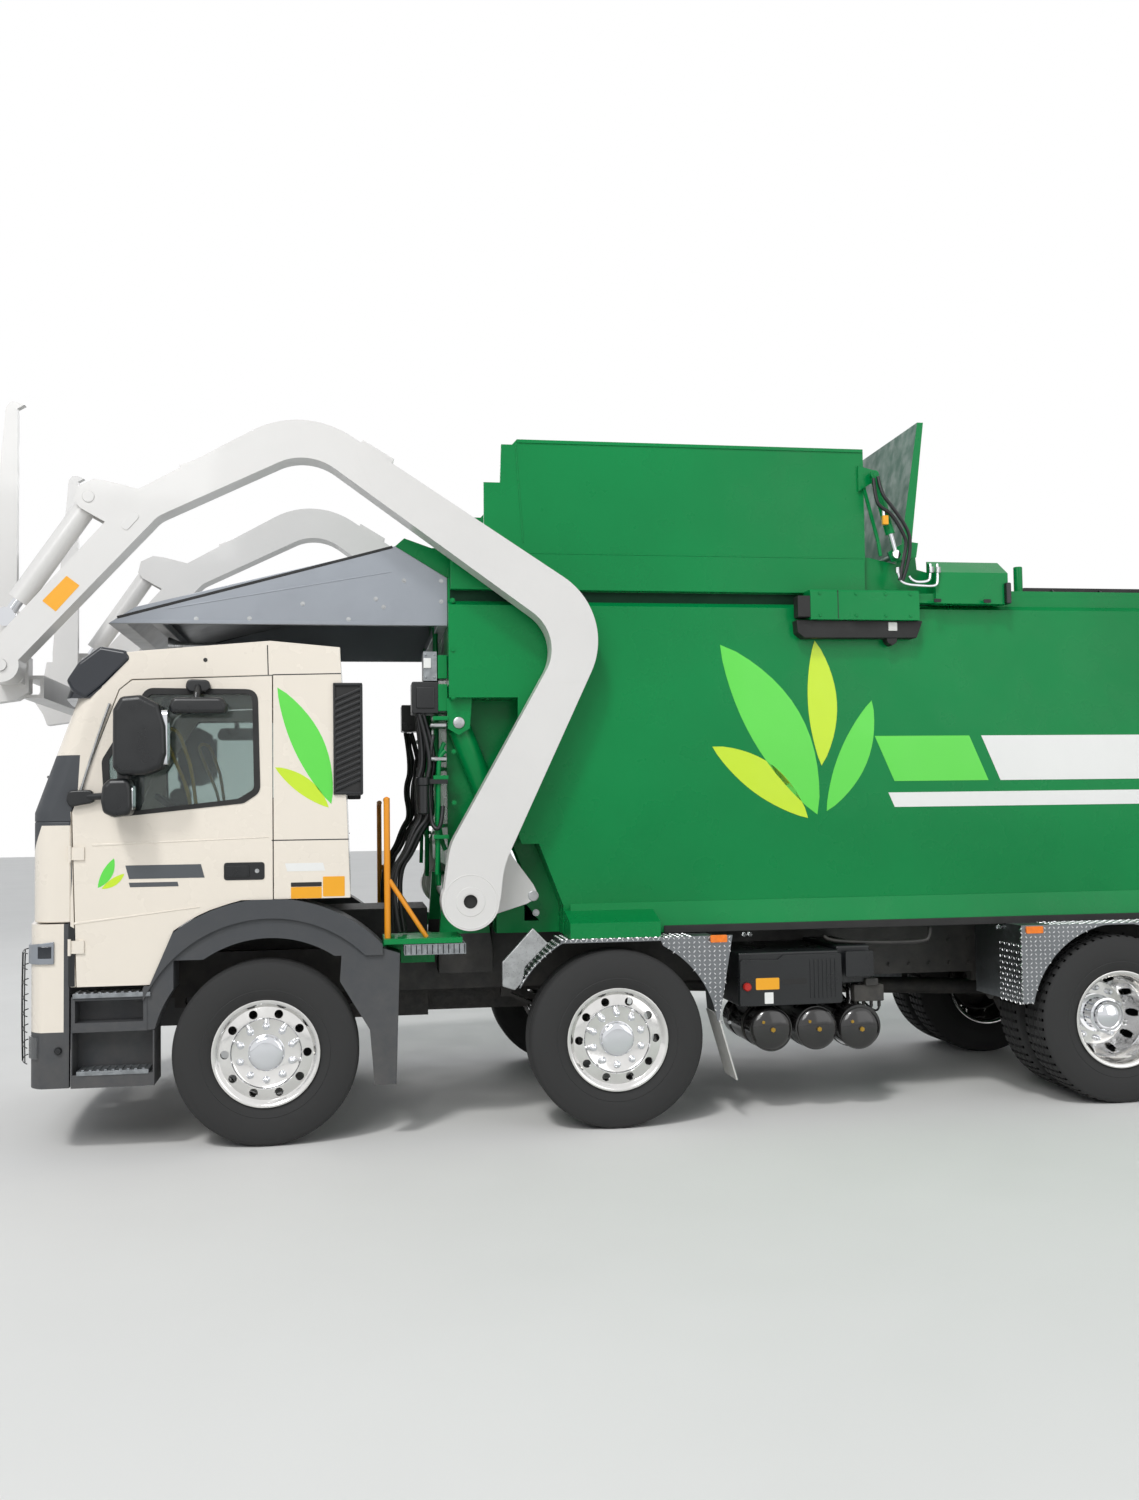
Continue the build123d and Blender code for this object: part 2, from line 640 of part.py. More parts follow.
def air_intake():
    """Tall louvred snorkel box behind the door on each side."""
    box = block(-545, -377, CAB_HALF_W - 125, CAB_HALF_W - 10, 1950, 2588)
    return box - (cab_block(0) & prism_y(cab_side(0), -CAB_CUT_Y, CAB_CUT_Y))


def canopy():
    """Cover over the cab that carries spilled load back to the hopper, open below."""
    half = BODY_TOP_Y - 5
    wall = 20
    side = [(BODY_FRONT, 2950), (891, 2950), (742, 3046), (-742, 3424), (BODY_FRONT, 3237)]
    inner = [(BODY_FRONT - 10, 2900), (840, 2900), (718, 3020), (-737, 3394), (BODY_FRONT - 10, 3205)]
    cover = prism_y(side, -half, half) - prism_y(inner, -half + wall, half - wall)
    cross = block(600, 660, -half + wall, half - wall, 2960, 3010)
    rear_cross = block(BODY_FRONT, BODY_FRONT + 60, -half + wall, half - wall, 2950, 3010)
    return cover + cross + rear_cross


# Load body
def body_half_section(inset, floor_z, roof_z):
    """Right and left outline of the body as (y, z)."""
    left = [
        (BODY_HALF_W - 75 - inset, floor_z),
        (BODY_HALF_W - 35 - inset, 1290),
        (BODY_HALF_W - inset, 2260),
        (BODY_HALF_W - inset, 3070 - inset * 0.5),
        (BODY_TOP_Y - inset, 3100 - inset * 0.5),
        (BODY_TOP_Y - inset, roof_z),
    ]
    return left + [(-y, z) for y, z in reversed(left)]


def body_shell():
    outer = prism_x(body_half_section(0, BODY_FLOOR, ROOF_Z), BODY_REAR, BODY_FRONT)
    space = body_half_section(BODY_WALL, BODY_FLOOR + FLOOR_T, ROOF_Z - BODY_WALL)
    space = prism_x(space, BODY_REAR - 1, HOPPER_FRONT - BODY_WALL)
    shell = outer - space
    mouth_half = BODY_TOP_Y - BODY_WALL
    shell = shell - block(HOPPER_REAR, HOPPER_FRONT - BODY_WALL, -mouth_half, mouth_half, 3100, 3300)
    front_half = POCKET_Y - BODY_WALL
    front_space = block(HOPPER_FRONT, BODY_FRONT - BODY_WALL, -front_half, front_half,
                        1560, ROOF_Z - BODY_WALL)
    shell = shell - front_space
    shell = shell - block(-1340, -900, -CAB_CUT_Y, CAB_CUT_Y, 1000, 1520)
    skin_pocket = [(-900, 1000), (-900, POCKET_TOP), (-1457, POCKET_TOP), (-1457, 1690),
                   (-1640, 1280), (-1640, 1000)]
    skin_pocket = prism_y(skin_pocket, POCKET_Y, CAB_CUT_Y)
    deep_pocket = [(-900, 1000), (-900, POCKET_TOP), (-1500, POCKET_TOP), (-1560, 1690),
                   (-1720, 1280), (-1720, 1000)]
    deep_pocket = prism_y(deep_pocket, POCKET_Y, CRANK_IN_Y + CRANK_T + 8)
    liner = [(-1340, 1521), (-1340, POCKET_TOP + BODY_WALL), (-1540, POCKET_TOP + BODY_WALL),
             (-1600, 1690), (-1760, 1280), (-1760, 1180), (-1600, 1180)]
    liner = prism_y(liner, POCKET_Y - BODY_WALL, BODY_HALF_W - 45)
    inside = body_half_section(BODY_WALL - 1, BODY_FLOOR + FLOOR_T - 1, ROOF_Z - 30)
    inside = prism_x(inside, BODY_REAR, HOPPER_FRONT)
    for box_liner in pair(liner & inside):
        shell = shell + box_liner
    for pocket in (skin_pocket, deep_pocket):
        shell = shell - pocket - right(pocket)
    # Shoulders and wings round the hopper mouth
    shoulder = [(BODY_TOP_Y, 3150), (BODY_HALF_W, 3370), (BODY_HALF_W, 3400),
                (BODY_HALF_W - WING_T, 3400), (mouth_half, 3180), (mouth_half, 3150)]
    wing = [
        (HOPPER_REAR, 3390),
        (HOPPER_REAR, WING_TOP),
        (HOPPER_FRONT, WING_TOP),
        (-1440, 4037),
        (-1375, 4037),
        (-1365, 3806),
        (-1267, 3806),
        (-1267, 3430),
        (HOPPER_FRONT, 3390),
    ]
    upstand = prism_x(shoulder, HOPPER_REAR, HOPPER_FRONT)
    upstand = upstand + prism_y(wing, BODY_HALF_W - WING_T, BODY_HALF_W)
    for side in pair(upstand):
        shell = shell + side
    apron = [(BODY_FRONT, 3200), (BODY_FRONT, 3232), (HOPPER_FRONT, 3440),
             (HOPPER_FRONT - 30, 3440), (HOPPER_FRONT - 30, 3160), (HOPPER_FRONT, 3160)]
    apron = prism_y(apron, -BODY_TOP_Y, BODY_TOP_Y)
    apron = apron - block(HOPPER_FRONT - 1, BODY_FRONT - 40, 5 - mouth_half, mouth_half - 5, 3000, 3199)
    shell = shell + apron
    rear_step = [(HOPPER_REAR, 3160), (HOPPER_REAR, 3400), (HOPPER_REAR - 40, 3400),
                 (-3990, 3330), (-4500, 3200), (-4500, 3160)]
    shell = shell + prism_y(rear_step, -BODY_TOP_Y, BODY_TOP_Y)
    # Sills along the bottom edge, and the brackets of the lift cylinders
    low_y = BODY_HALF_W - 75
    sill = [(low_y - 20, 1108), (BODY_HALF_W - 5, 1108), (BODY_HALF_W + 5, 1160),
            (BODY_HALF_W - 30, 1290), (low_y, 1290)]
    sill = prism_x(sill, BODY_REAR, -1760)
    ledge = [(low_y, LEDGE_BOTTOM), (LEDGE_Y, LEDGE_BOTTOM), (LEDGE_Y, 1190),
             (BODY_HALF_W - 25, 1250), (low_y, 1250)]
    ledge = prism_x(ledge, -2260, -1725)
    hang = [(-1040, POCKET_TOP), (-1190, POCKET_TOP), (-1175, 2340), (-1110, 2300), (-1045, 2340)]
    hang = prism_y(hang, POCKET_Y + 160, POCKET_Y + 180)
    base_pin = rod_y(LIFT_BASE_PIN, 28, POCKET_Y - 10, POCKET_Y + 182)
    gate_lug = [(-8040, ROOF_Z - 5), (-8098, ROOF_Z - 5), (-8170, 3230), (-8160, 3290), (-8090, 3295)]
    gate_lug = prism_y(gate_lug, 560, 590) - rod_y(GATE_PIVOT, GATE_PIN_R + FIT, 500, 700)
    lid_lug = [(-3860, 3320), (-4000, 3310), (-3985, 3470), (-3930, 3500), (-3880, 3470)]
    lid_lug = prism_y(lid_lug, BODY_TOP_Y - 30, BODY_TOP_Y - 1)
    lid_lug = lid_lug - rod_y(LID_PIVOT, LID_PIN_R + FIT, 900, BODY_HALF_W)
    ram_lug = [(-3600, 3800), (-3600, 3960), (-3705, 3935), (-3720, 3880), (-3680, 3850)]
    ram_lug = prism_y(ram_lug, BODY_HALF_W, BODY_HALF_W + 20)
    ram_pin = rod_y(LID_CYLINDER_BASE, LID_RAM_PIN_R, BODY_HALF_W, LID_CYLINDER_Y + 18)
    for piece in (sill, ledge, hang, base_pin, gate_lug, lid_lug, ram_lug, ram_pin):
        for side in pair(piece):
            shell = shell + side
    return shell


def packer_panel():
    """Blade and follower plate that push the load back, running on the body floor."""
    half = BODY_TOP_Y - BODY_WALL - 15
    low = BODY_FLOOR + FLOOR_T + CLEAR
    blade_half = POCKET_Y - BODY_WALL - 10
    blade = [(-1800, low), (-1800, 2300), (-1560, 2480), (-1560, 2420), (-1740, 2280), (-1740, low)]
    blade = prism_y(blade, -blade_half, blade_half)
    face = block(-1860, -1800, -half + 30, half - 30, low, 2300)
    panel = blade + face
    for shoe in pair(block(-1860, -1740, 300, 380, low - CLEAR + SEAT, low)):
        panel = panel + shoe
    return panel


def lid():
    """Board that stands behind the hopper mouth and folds forward over it."""
    half = BODY_TOP_Y - 45
    board = prism_y([(-3905, 3400), (-3975, 3400), (-4085, LID_TOP), (-4045, LID_TOP)], -half, half)
    pin_end = BODY_HALF_W - 35
    pin = rod_y(LID_PIVOT, LID_PIN_R, -pin_end, pin_end)
    crank = [(-3975, 3480), (-3900, 3490), (-3775, 3420), (-3800, 3360), (-3960, 3390)]
    crank = prism_y(crank, LID_CRANK_Y, LID_CRANK_Y + LID_CRANK_T)
    hub = rod_y(LID_PIVOT, LID_PIN_R, pin_end - 10, LID_CRANK_Y + LID_CRANK_T)
    shape = board + pin
    for lever in pair(crank + hub):
        shape = shape + lever
    return shape


def tailgate():
    """Rear door of the body, hinged along its top edge."""
    outer = [(BODY_REAR - CLEAR, 1120), (BODY_REAR - CLEAR, 3190), (-8330, 3190), (-8560, 2860),
             (REAR_REACH, 1750), (-8420, 1120)]
    inner = [(BODY_REAR, 1190), (BODY_REAR, 3130), (-8300, 3130), (-8515, 2840), (-8550, 1765),
             (-8390, 1190)]
    half = BODY_HALF_W - 10
    gate = prism_y(outer, -half, half) - prism_y(inner, 45 - half, half - 45)
    hinge = rod_y(GATE_PIVOT, GATE_PIN_R, -700, 700)
    ears = Part()
    for y in (-500, 500):
        ears = ears + block(GATE_PIVOT[0] - 90, GATE_PIVOT[0], y - 30, y + 30,
                            3180, GATE_PIVOT[1] + 20)
    return gate + hinge + ears


def side_boxes():
    """Green box with the arm stop on each side, and the hose cover behind it."""
    wall = BODY_HALF_W
    roof_y = BODY_TOP_Y + 1
    box = [(wall, 2985), (wall + 115, 2985), (wall + 115, 3150), (wall + 105, 3170), (wall - 35, 3170),
           (roof_y + 1, 3110), (wall, 3080)]
    box = prism_x(box, -3940, -3240)
    cover = [(wall, 3095), (wall + 85, 3095), (wall + 85, 3290), (roof_y, 3380), (roof_y, 3110)]
    cover = prism_x(cover, -4540, -4060)
    neck = block(-4070, -3930, wall, wall + 65, 3100, 3160)
    foot = block(-3700, -3600, wall, wall + 75, 2930, 2985)
    return pair(box + cover + neck + foot)


def stops_and_flaps():
    stop = block(-3240, -3160, BODY_HALF_W + 30, BODY_HALF_W + 115, 3000, 3130)
    middle_flap = prism_y([(-2590, 638), (-2700, 250), (-2710, 250), (-2600, 638)], 960, 1220)
    rear_flap = block(-7210, -7200, 620, 1225, 260, 800)
    pieces = []
    for piece in (stop, middle_flap, rear_flap):
        pieces = pieces + pair(piece)
    return pieces


def fenders():
    x = AXLE_X[2]
    fender_r = TYRE_R + 140
    shell = rod_y((x, TYRE_R), fender_r, 950, 1230) - rod_y((x, TYRE_R), fender_r - 8, 900, 1300)
    front = shell & block(x + 320, x + 700, 900, 1300, 830, 1078)
    top = block(x - 575, x + 330, 950, 1230, 1078, LEDGE_BOTTOM)
    quarter = [(-2250, LEDGE_BOTTOM), (-2690, LEDGE_BOTTOM), (-2600, 600), (-2450, 600)]
    quarter = prism_y(quarter, 1222, 1230)
    quarter = quarter - rod_y((x, TYRE_R), TYRE_R + 85, 1200, 1300)
    back = [(-2565, LEDGE_BOTTOM), (-2600, 638), (-2610, 638), (-2577, LEDGE_BOTTOM)]
    back = prism_y(back, 950, 1230)
    middle = front + top + quarter + back
    low, high = 635, 1108
    skirt = block(-7170, -4500, 1232, 1240, low, high)
    for number in DRIVE_AXLES:
        skirt = skirt - rod_y((AXLE_X[number], TYRE_R), TYRE_R + 75, 1200, 1300)
    front_plate = block(-4508, -4500, 610, 1240, low, high)
    rear_plate = block(-7200, -7192, 610, 1240, low, high)
    roof = block(-7200, -4500, 610, 1240, high - 10, high)
    skirt_end = block(-7200, -7160, 1232, 1240, low, high)
    rear = skirt + front_plate + rear_plate + roof + skirt_end
    return pair(middle) + pair(rear)


def battery_boxes():
    first = block(-3385, -2755, RAIL_Y, 1110, 660, 980)
    second = block(-3600, -3386, RAIL_Y, 1060, 770, 1000)
    return first, second


def tanks():
    pieces = []
    # place along X, underside of the box above
    for x, strap_top in ((-2958, 660), (-3239, 660), (-3517, 770)):
        tank = rod_y((x, 515), 130, 470, 1090)
        for y in (560, 950):
            tank = tank + block(x - 35, x + 35, y, y + 40, 620, strap_top)
        pieces.append(tank)
    fuel = prism_x([(-1190, 560), (-RAIL_Y, 560), (-RAIL_Y, 1000), (-1190, 1000)], -3740, -2760, 60)
    pieces.append(fuel)
    return pieces


def exhaust():
    """Silencer box on the right behind the front wheel, with its tail pipe."""
    box = prism_x([(-1150, 560), (-RAIL_Y, 560), (-RAIL_Y, 980), (-1150, 980)], -4420, -3840, 40)
    pipe = Pos(-3800, -800, 650) * Rot(0, 90, 0) * Cylinder(50, 100)
    return box + pipe


def arm_towers():
    bore_r = TORQUE_TUBE_R + FIT
    plate = prism_y([(-1330, 1010), (-1000, 1010), (-1030, 1430), (-1270, 1430)], 560, 640)
    foot = block(-1330, -1000, RAIL_Y, 640, 860, 1010)
    hole = rod_y(ARM_PIVOT, bore_r, 500, 700)
    return pair(plate + foot - hole)


def grab_rails():
    rail_y = DECK_Y - 72
    inner_y = DECK_Y - 322
    rail = rod_z(-678, rail_y, 18, 1130, 1930)
    brace = rod_between((-690, 1460), (-900, 1130), 14, rail_y)
    step = block(-1100, -655, inner_y, DECK_Y, 1100, 1130)
    hook = rod_y((-678, 1920), 18, rail_y - 150, rail_y)
    leg = block(-960, -760, RAIL_Y, inner_y, 960, 1100)
    deck = block(-1100, -655, inner_y - 50, inner_y + 5, 1040, 1130)
    return pair(rail + brace + step + hook + leg + deck)


# Lift arms: two bent box beams on one torque tube, with the cranks of the lift cylinders
ARM_OUTLINE = [
    # x, z, corner radius
    (-990, 1331, 0),
    (-1035, 1655, 300),
    (-1716, 2862, 260),
    (-247, 3922, 310),
    (580, 3520, 150),
    (1368, 2657, 0),
    (1490, 2770, 0),
    (858, 3490, 0),
    (690, 3669, 60),
    (-220, 4182, 540),
    (-2031, 3000, 440),
    (-1343, 1535, 500),
    (-1318, 1331, 0),
]


def arm():
    points = [(x, z) for x, z, _ in ARM_OUTLINE]
    radii = [radius for _, _, radius in ARM_OUTLINE]
    beam = prism_y(points, ARM_IN_Y, ARM_OUT_Y, radii)
    boss = rod_y(ARM_PIVOT, ARM_BOSS_R, ARM_IN_Y, ARM_OUT_Y)
    tip = rod_y(FORK_PIVOT, 95, ARM_IN_Y, ARM_OUT_Y)
    beam = beam + boss + tip
    bracket = [(640, 3660), (849, 3712), (925, 3722), (1010, 3680), (1030, 3600), (1000, 3560),
               (858, 3480)]
    for y in (ARM_IN_Y, ARM_OUT_Y - 20):
        beam = beam + prism_y(bracket, y, y + 20)
    beam = beam - rod_y(ARM_PIVOT, 40, ARM_OUT_Y - 60, ARM_OUT_Y + 10)
    pin = rod_y(FORK_BASE_PIN, 26, ARM_IN_Y, ARM_OUT_Y)
    return beam + pin


def crank():
    web = [(-1148, 1190), (-1509, 1300), (-1565, 1357), (-1540, 1410), (-1330, 1700), (-1060, 1450)]
    web = prism_y(web, CRANK_IN_Y, CRANK_IN_Y + CRANK_T, [0, 40, 30, 30, 60, 0])
    return web + rod_y(ARM_PIVOT, 140, CRANK_IN_Y, ARM_IN_Y + 1)


def lift_arms():
    tube = rod_y(ARM_PIVOT, TORQUE_TUBE_R, -ARM_IN_Y - 1, ARM_IN_Y + 1)
    arms = tube
    for side in pair(arm() + crank()):
        arms = arms + side
    fork_hole = rod_y(FORK_PIVOT, 34, -1300, 1300)
    return arms - fork_hole


def forks():
    """Two tines with their carriers and the channel bar that joins them."""
    tine = [(1405, 2700), (1405, 4200), (1366, 4223), (1410, 4240), (1445, 4238), (1470, 4205),
            (1525, 3561), (1573, 2996), (1573, 2700)]
    tine = prism_y(tine, FORK_Y - 25, FORK_Y + 25)
    carrier = [(1405, 2925), (1609, 2925), (1640, 2740), (FRONT_REACH, 2650), (1631, 2560),
               (1604, 2485), (1396, 2516), (1330, 2560), (1330, 2760), (1405, 2800)]
    carrier = prism_y(carrier, FORK_Y - 40, FORK_Y + 60)
    cheek = [(1350, 3010), (1450, 3010), (1520, 2700), (1480, 2600), (1340, 2600), (1320, 2700)]
    cheek = prism_y(cheek, ARM_IN_Y - CLEAR - 24, ARM_IN_Y - CLEAR, 30)
    link = block(1350, 1480, FORK_Y + 50, ARM_IN_Y - CLEAR - 10, 2600, 2750)
    pin = rod_y(FORK_PIVOT, 33, FORK_Y, ARM_OUT_Y + 12)
    side = tine + carrier + cheek + link + pin
    bar = [(1260, 2530), (1380, 2530), (1380, 2550), (1280, 2550), (1280, 2640), (1380, 2640),
           (1380, 2660), (1260, 2660)]
    bar = prism_y(bar, -FORK_Y, FORK_Y)
    return side + right(side) + bar


def barrel(base, end, radius, y, length, eye_r, eye_half):
    """Left cylinder barrel: an eye on the base pin and a tube open at the rod end."""
    start = along(base, end, eye_r * 0.6)
    stop = along(base, end, length)
    tube = rod_between(start, stop, radius, y) + rod_y(base, eye_r, y - eye_half, y + eye_half)
    return tube


# Cylinders: base pin, rod pin, place across, barrel, rod and pin radii, barrel length,
# start of the rod inside the barrel, half width of the eyes, and where the rod's pin stub ends
CYLINDERS = {
    "lift": (LIFT_BASE_PIN, CRANK_PIN, LIFT_CYLINDER_Y, LIFT_BARREL_R, 36, 28,
             760, 330, 30, CRANK_IN_Y - PIN_GAP),
    "fork": (FORK_BASE_PIN, FORK_ROD_PIN, FORK_CYLINDER_Y, FORK_BARREL_R, 30, 26,
             690, 130, 34, ARM_IN_Y - CLEAR + PIN_GAP),
    "lid": (LID_CYLINDER_BASE, LID_CYLINDER_END, LID_CYLINDER_Y, 30, 15, LID_RAM_PIN_R,
            380, 130, 16, LID_CRANK_Y + LID_CRANK_T + PIN_GAP),
}


def cylinder_set(base, end, y, barrel_r, rod_r, pin_r, length, rod_start, eye_half, stub_to):
    """Left barrel and rod; the rod's own pin stub reaches towards the part that it moves."""
    eye_r = barrel_r * 0.85
    body = barrel(base, end, barrel_r, y, length, eye_r, eye_half)
    body = body - rod_y(base, pin_r + FIT, y - 200, y + 200)
    inner = rod_between(along(base, end, 110), along(base, end, length + 10), rod_r + FIT, y)
    body = body - inner
    shaft = rod_between(along(base, end, rod_start), end, rod_r, y)
    eye = rod_y(end, eye_r, y - eye_half, y + eye_half)
    stub = rod_y(end, pin_r, min(y, stub_to), max(y, stub_to))
    return body, shaft + eye + stub


def build():
    os.makedirs("parts", exist_ok=True)
    save("chassis_frame", chassis_frame())
    save("powertrain", *powertrain())
    save("axles_and_springs", *axles())

    shell, panel, door, windscreen, pane = cab_parts()
    save("cab_shell", shell)
    save("cab_front_panel", panel)
    save("windscreen", windscreen)
    for name, side in (("left", 1), ("right", -1)):
        save(f"door_{name}", door if side > 0 else right(door))
        save(f"door_glass_{name}", pane if side > 0 else right(pane))
        save(f"mirror_{name}", mirror_set() if side > 0 else right(mirror_set()))
    save("sun_visor", sun_visor())
    save("front_bumper", front_bumper())
    save("head_lamps", *head_lamps())
    save("cab_arches", *pair(cab_arches()))
    save("seats", *cab_seats())
    save("dashboard", dashboard())
    save("air_intakes", *pair(air_intake()))
    save("canopy", canopy())

    save("body_shell", body_shell())
    save("packer_panel", packer_panel())
    save("hopper_lid", lid())
    save("tailgate", tailgate())
    save("side_boxes", *side_boxes())
    save("rubber_stops_and_flaps", *stops_and_flaps())
    save("fenders", *fenders())
    save("battery_boxes", *battery_boxes())
    save("tanks", *tanks())
    save("exhaust", exhaust())
    save("arm_towers", *arm_towers())
    save("grab_rails", *grab_rails())

    save("lift_arms", lift_arms())
    save("forks", forks())
    for name, sizes in CYLINDERS.items():
        barrel_solid, rod_solid = cylinder_set(*sizes)
        save(f"{name}_cylinder_barrels", *pair(barrel_solid))
        save(f"{name}_cylinder_rods", *pair(rod_solid))

    for number in STEER_AXLES:
        for name, side in (("left", 1), ("right", -1)):
            x = AXLE_X[number]
            save(f"knuckle_{number}_{name}", knuckle(x) if side > 0 else right(knuckle(x)))
            save(f"tyre_{number}_{name}", ring(tyre_section(), x, side))
            save(f"rim_{number}_{name}", steer_rim(x, side))
    for number in DRIVE_AXLES:
        for name, side in (("left", 1), ("right", -1)):
            x = AXLE_X[number]
            tyres = [ring(tyre_section(), x, side), ring(tyre_section(TWIN_PITCH), x, side)]
            save(f"twin_tyres_{number}_{name}", *tyres)
            save(f"twin_rims_{number}_{name}", twin_rims(x, side))


if __name__ == "__main__":
    build()
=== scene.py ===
import json
import math

import bmesh
import bpy
from bpy.props import FloatProperty, FloatVectorProperty, PointerProperty
from mathutils import Matrix, Vector
from mathutils.bvhtree import BVHTree

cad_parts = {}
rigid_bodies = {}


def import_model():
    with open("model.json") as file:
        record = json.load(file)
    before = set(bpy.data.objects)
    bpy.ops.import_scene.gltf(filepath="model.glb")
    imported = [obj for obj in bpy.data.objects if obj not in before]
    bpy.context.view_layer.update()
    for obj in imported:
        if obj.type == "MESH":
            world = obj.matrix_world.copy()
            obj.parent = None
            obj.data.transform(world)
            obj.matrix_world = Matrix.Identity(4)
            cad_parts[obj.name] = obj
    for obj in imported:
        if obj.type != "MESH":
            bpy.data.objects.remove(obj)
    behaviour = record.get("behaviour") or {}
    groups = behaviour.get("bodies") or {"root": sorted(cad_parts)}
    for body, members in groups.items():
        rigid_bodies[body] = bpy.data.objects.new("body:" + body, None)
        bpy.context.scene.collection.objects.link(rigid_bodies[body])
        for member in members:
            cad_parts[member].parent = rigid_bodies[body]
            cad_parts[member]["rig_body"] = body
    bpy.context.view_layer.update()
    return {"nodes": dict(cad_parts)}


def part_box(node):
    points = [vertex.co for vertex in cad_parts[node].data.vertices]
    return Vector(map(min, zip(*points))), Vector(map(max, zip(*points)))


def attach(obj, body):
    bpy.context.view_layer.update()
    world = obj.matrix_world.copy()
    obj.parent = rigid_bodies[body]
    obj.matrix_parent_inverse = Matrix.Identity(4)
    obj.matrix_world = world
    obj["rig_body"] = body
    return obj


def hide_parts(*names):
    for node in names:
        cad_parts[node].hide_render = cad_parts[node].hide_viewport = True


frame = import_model()

bl_info = {
    "name": "Garbage truck",
    "version": (1, 0, 0),
    "blender": (4, 5, 0),
    "location": "View3D > Sidebar > Truck",
    "description": "Dresses a front-loading garbage truck: paint, wheels, cab, arms, body and stage",
    "category": "Object",
}

SIDES = (("left", 1), ("right", -1))
STEER = (1, 2)
DRIVE = (3, 4)


def middle(node_name):
    """Centre of a CAD node's box."""
    low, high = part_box(node_name)
    return (low + high) / 2


# Places along X in this file are measured from the front axle, in metres, and put in the frame here
AXLE = {number: middle(f"rim_{number}_left") for number in STEER}
AXLE.update({number: middle(f"twin_rims_{number}_left") for number in DRIVE})
FRONT = AXLE[1].x
WHEEL_Z = AXLE[1].z
TYRE_R = (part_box("tyre_1_left")[1].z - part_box("tyre_1_left")[0].z) / 2
FACE_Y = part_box("tyre_1_left")[1].y
# Half widths of the cab, the load body and its boxes, and the height below which the body slants in
CAB_Y = 1.225
BODY_Y = 1.035
BOX_Y = 1.150
BODY_KINK_Z = 2.26
# Where the lift arms turn, half the thickness of film, and the turn past which an edge is rounded
PIVOT_X, PIVOT_Z = -1.148, 1.331
FILM = 0.001
SHARP = math.radians(32)


def linear(colour):
    """An sRGB hex colour as the linear values that a shader takes."""
    parts = [int(colour[place:place + 2], 16) / 255 for place in (1, 3, 5)]
    parts = [part / 12.92 if part <= 0.04045 else ((part + 0.055) / 1.055) ** 2.4 for part in parts]
    return (*parts, 1.0)


def colour_setting(name, description, colour):
    """A colour that the panel of the add-on can change."""
    return FloatVectorProperty(name=name, description=description, subtype="COLOR", size=4,
                               min=0.0, max=1.0, default=linear(colour))


def length_setting(name, description, default):
    """A length that the panel of the add-on can change."""
    return FloatProperty(name=name, description=description, unit="LENGTH", default=default)


class TruckColours(bpy.types.PropertyGroup):
    """Colours of the paints and plastics"""
    cab: colour_setting("Cab", "Cream enamel of the cab", "#E9E0D2")
    body: colour_setting("Body", "Green enamel of the load body", "#008242")
    arms: colour_setting("Arms", "White enamel of the lift arms and forks", "#DAD8D5")
    canopy: colour_setting("Canopy", "Silver-grey paint of the canopy", "#8F949B")
    plastic: colour_setting("Plastic", "Moulded grey plastic of arches, steps and bumper", "#3C3F43")
    motif: colour_setting("Motif", "Lime green film of the side design", "#5FD94A")
    motif_pale: colour_setting("Pale motif", "Yellow-green film of the side design", "#C8E62C")
    rail: colour_setting("Rail", "Orange enamel of the grab rail", "#E8940C")


class TruckSizes(bpy.types.PropertyGroup):
    """Sizes of the dressed details"""
    panel_edge: length_setting("Panel edge", "Rounding of sheet metal edges", 0.007)
    plastic_edge: length_setting("Plastic edge", "Rounding of moulded plastic edges", 0.012)
    hose: length_setting("Hose", "Diameter of the hydraulic hoses", 0.026)
    nut: length_setting("Wheel nut", "Size across a capped wheel nut", 0.036)
    tread: length_setting("Tread", "Depth of the tyre tread", 0.012)
    camera_lens: FloatProperty(name="Lens", description="Focal length of the camera", unit="CAMERA",
                               default=32.8)


def colours():
    """The colours of this truck."""
    return bpy.context.scene.truck_colours


def sizes():
    """The sizes of this truck."""
    return bpy.context.scene.truck_sizes


# Materials. One function adds a node with its settings and links.
def node(tree, kind, links=None, **settings):
    """Add one shader node."""
    made = tree.nodes.new("ShaderNode" + kind)
    for name, value in settings.items():
        setattr(made, name, value)
    for socket, value in (links or {}).items():
        if isinstance(value, bpy.types.NodeSocket):
            tree.links.new(value, made.inputs[socket])
        else:
            made.inputs[socket].default_value = value
    return made


def start(name):
    """A material with its shader, and the Object coordinates that its patterns read."""
    if name in bpy.data.materials:
        return None, None, None
    material = bpy.data.materials.new(name)
    material.use_nodes = True
    tree = material.node_tree
    shader = tree.nodes["Principled BSDF"]
    place = node(tree, "TexCoord").outputs["Object"]
    return material, shader, place


def uneven(tree, place, scale, detail, low, high, roughness=0.5, wander=(0.35, 0.65)):
    """A value that wanders between two bounds over the surface: the middle of a noise, stretched."""
    noise = node(tree, "TexNoise", {"Vector": place, "Scale": scale, "Detail": detail,
                                    "Roughness": roughness})
    return node(tree, "MapRange", {"Value": noise.outputs["Fac"], "From Min": wander[0],
                                   "From Max": wander[1], "To Min": low, "To Max": high}).outputs["Result"]


def shade(colour, share):
    """A colour made darker or lighter."""
    return (colour[0] * share, colour[1] * share, colour[2] * share, 1.0)


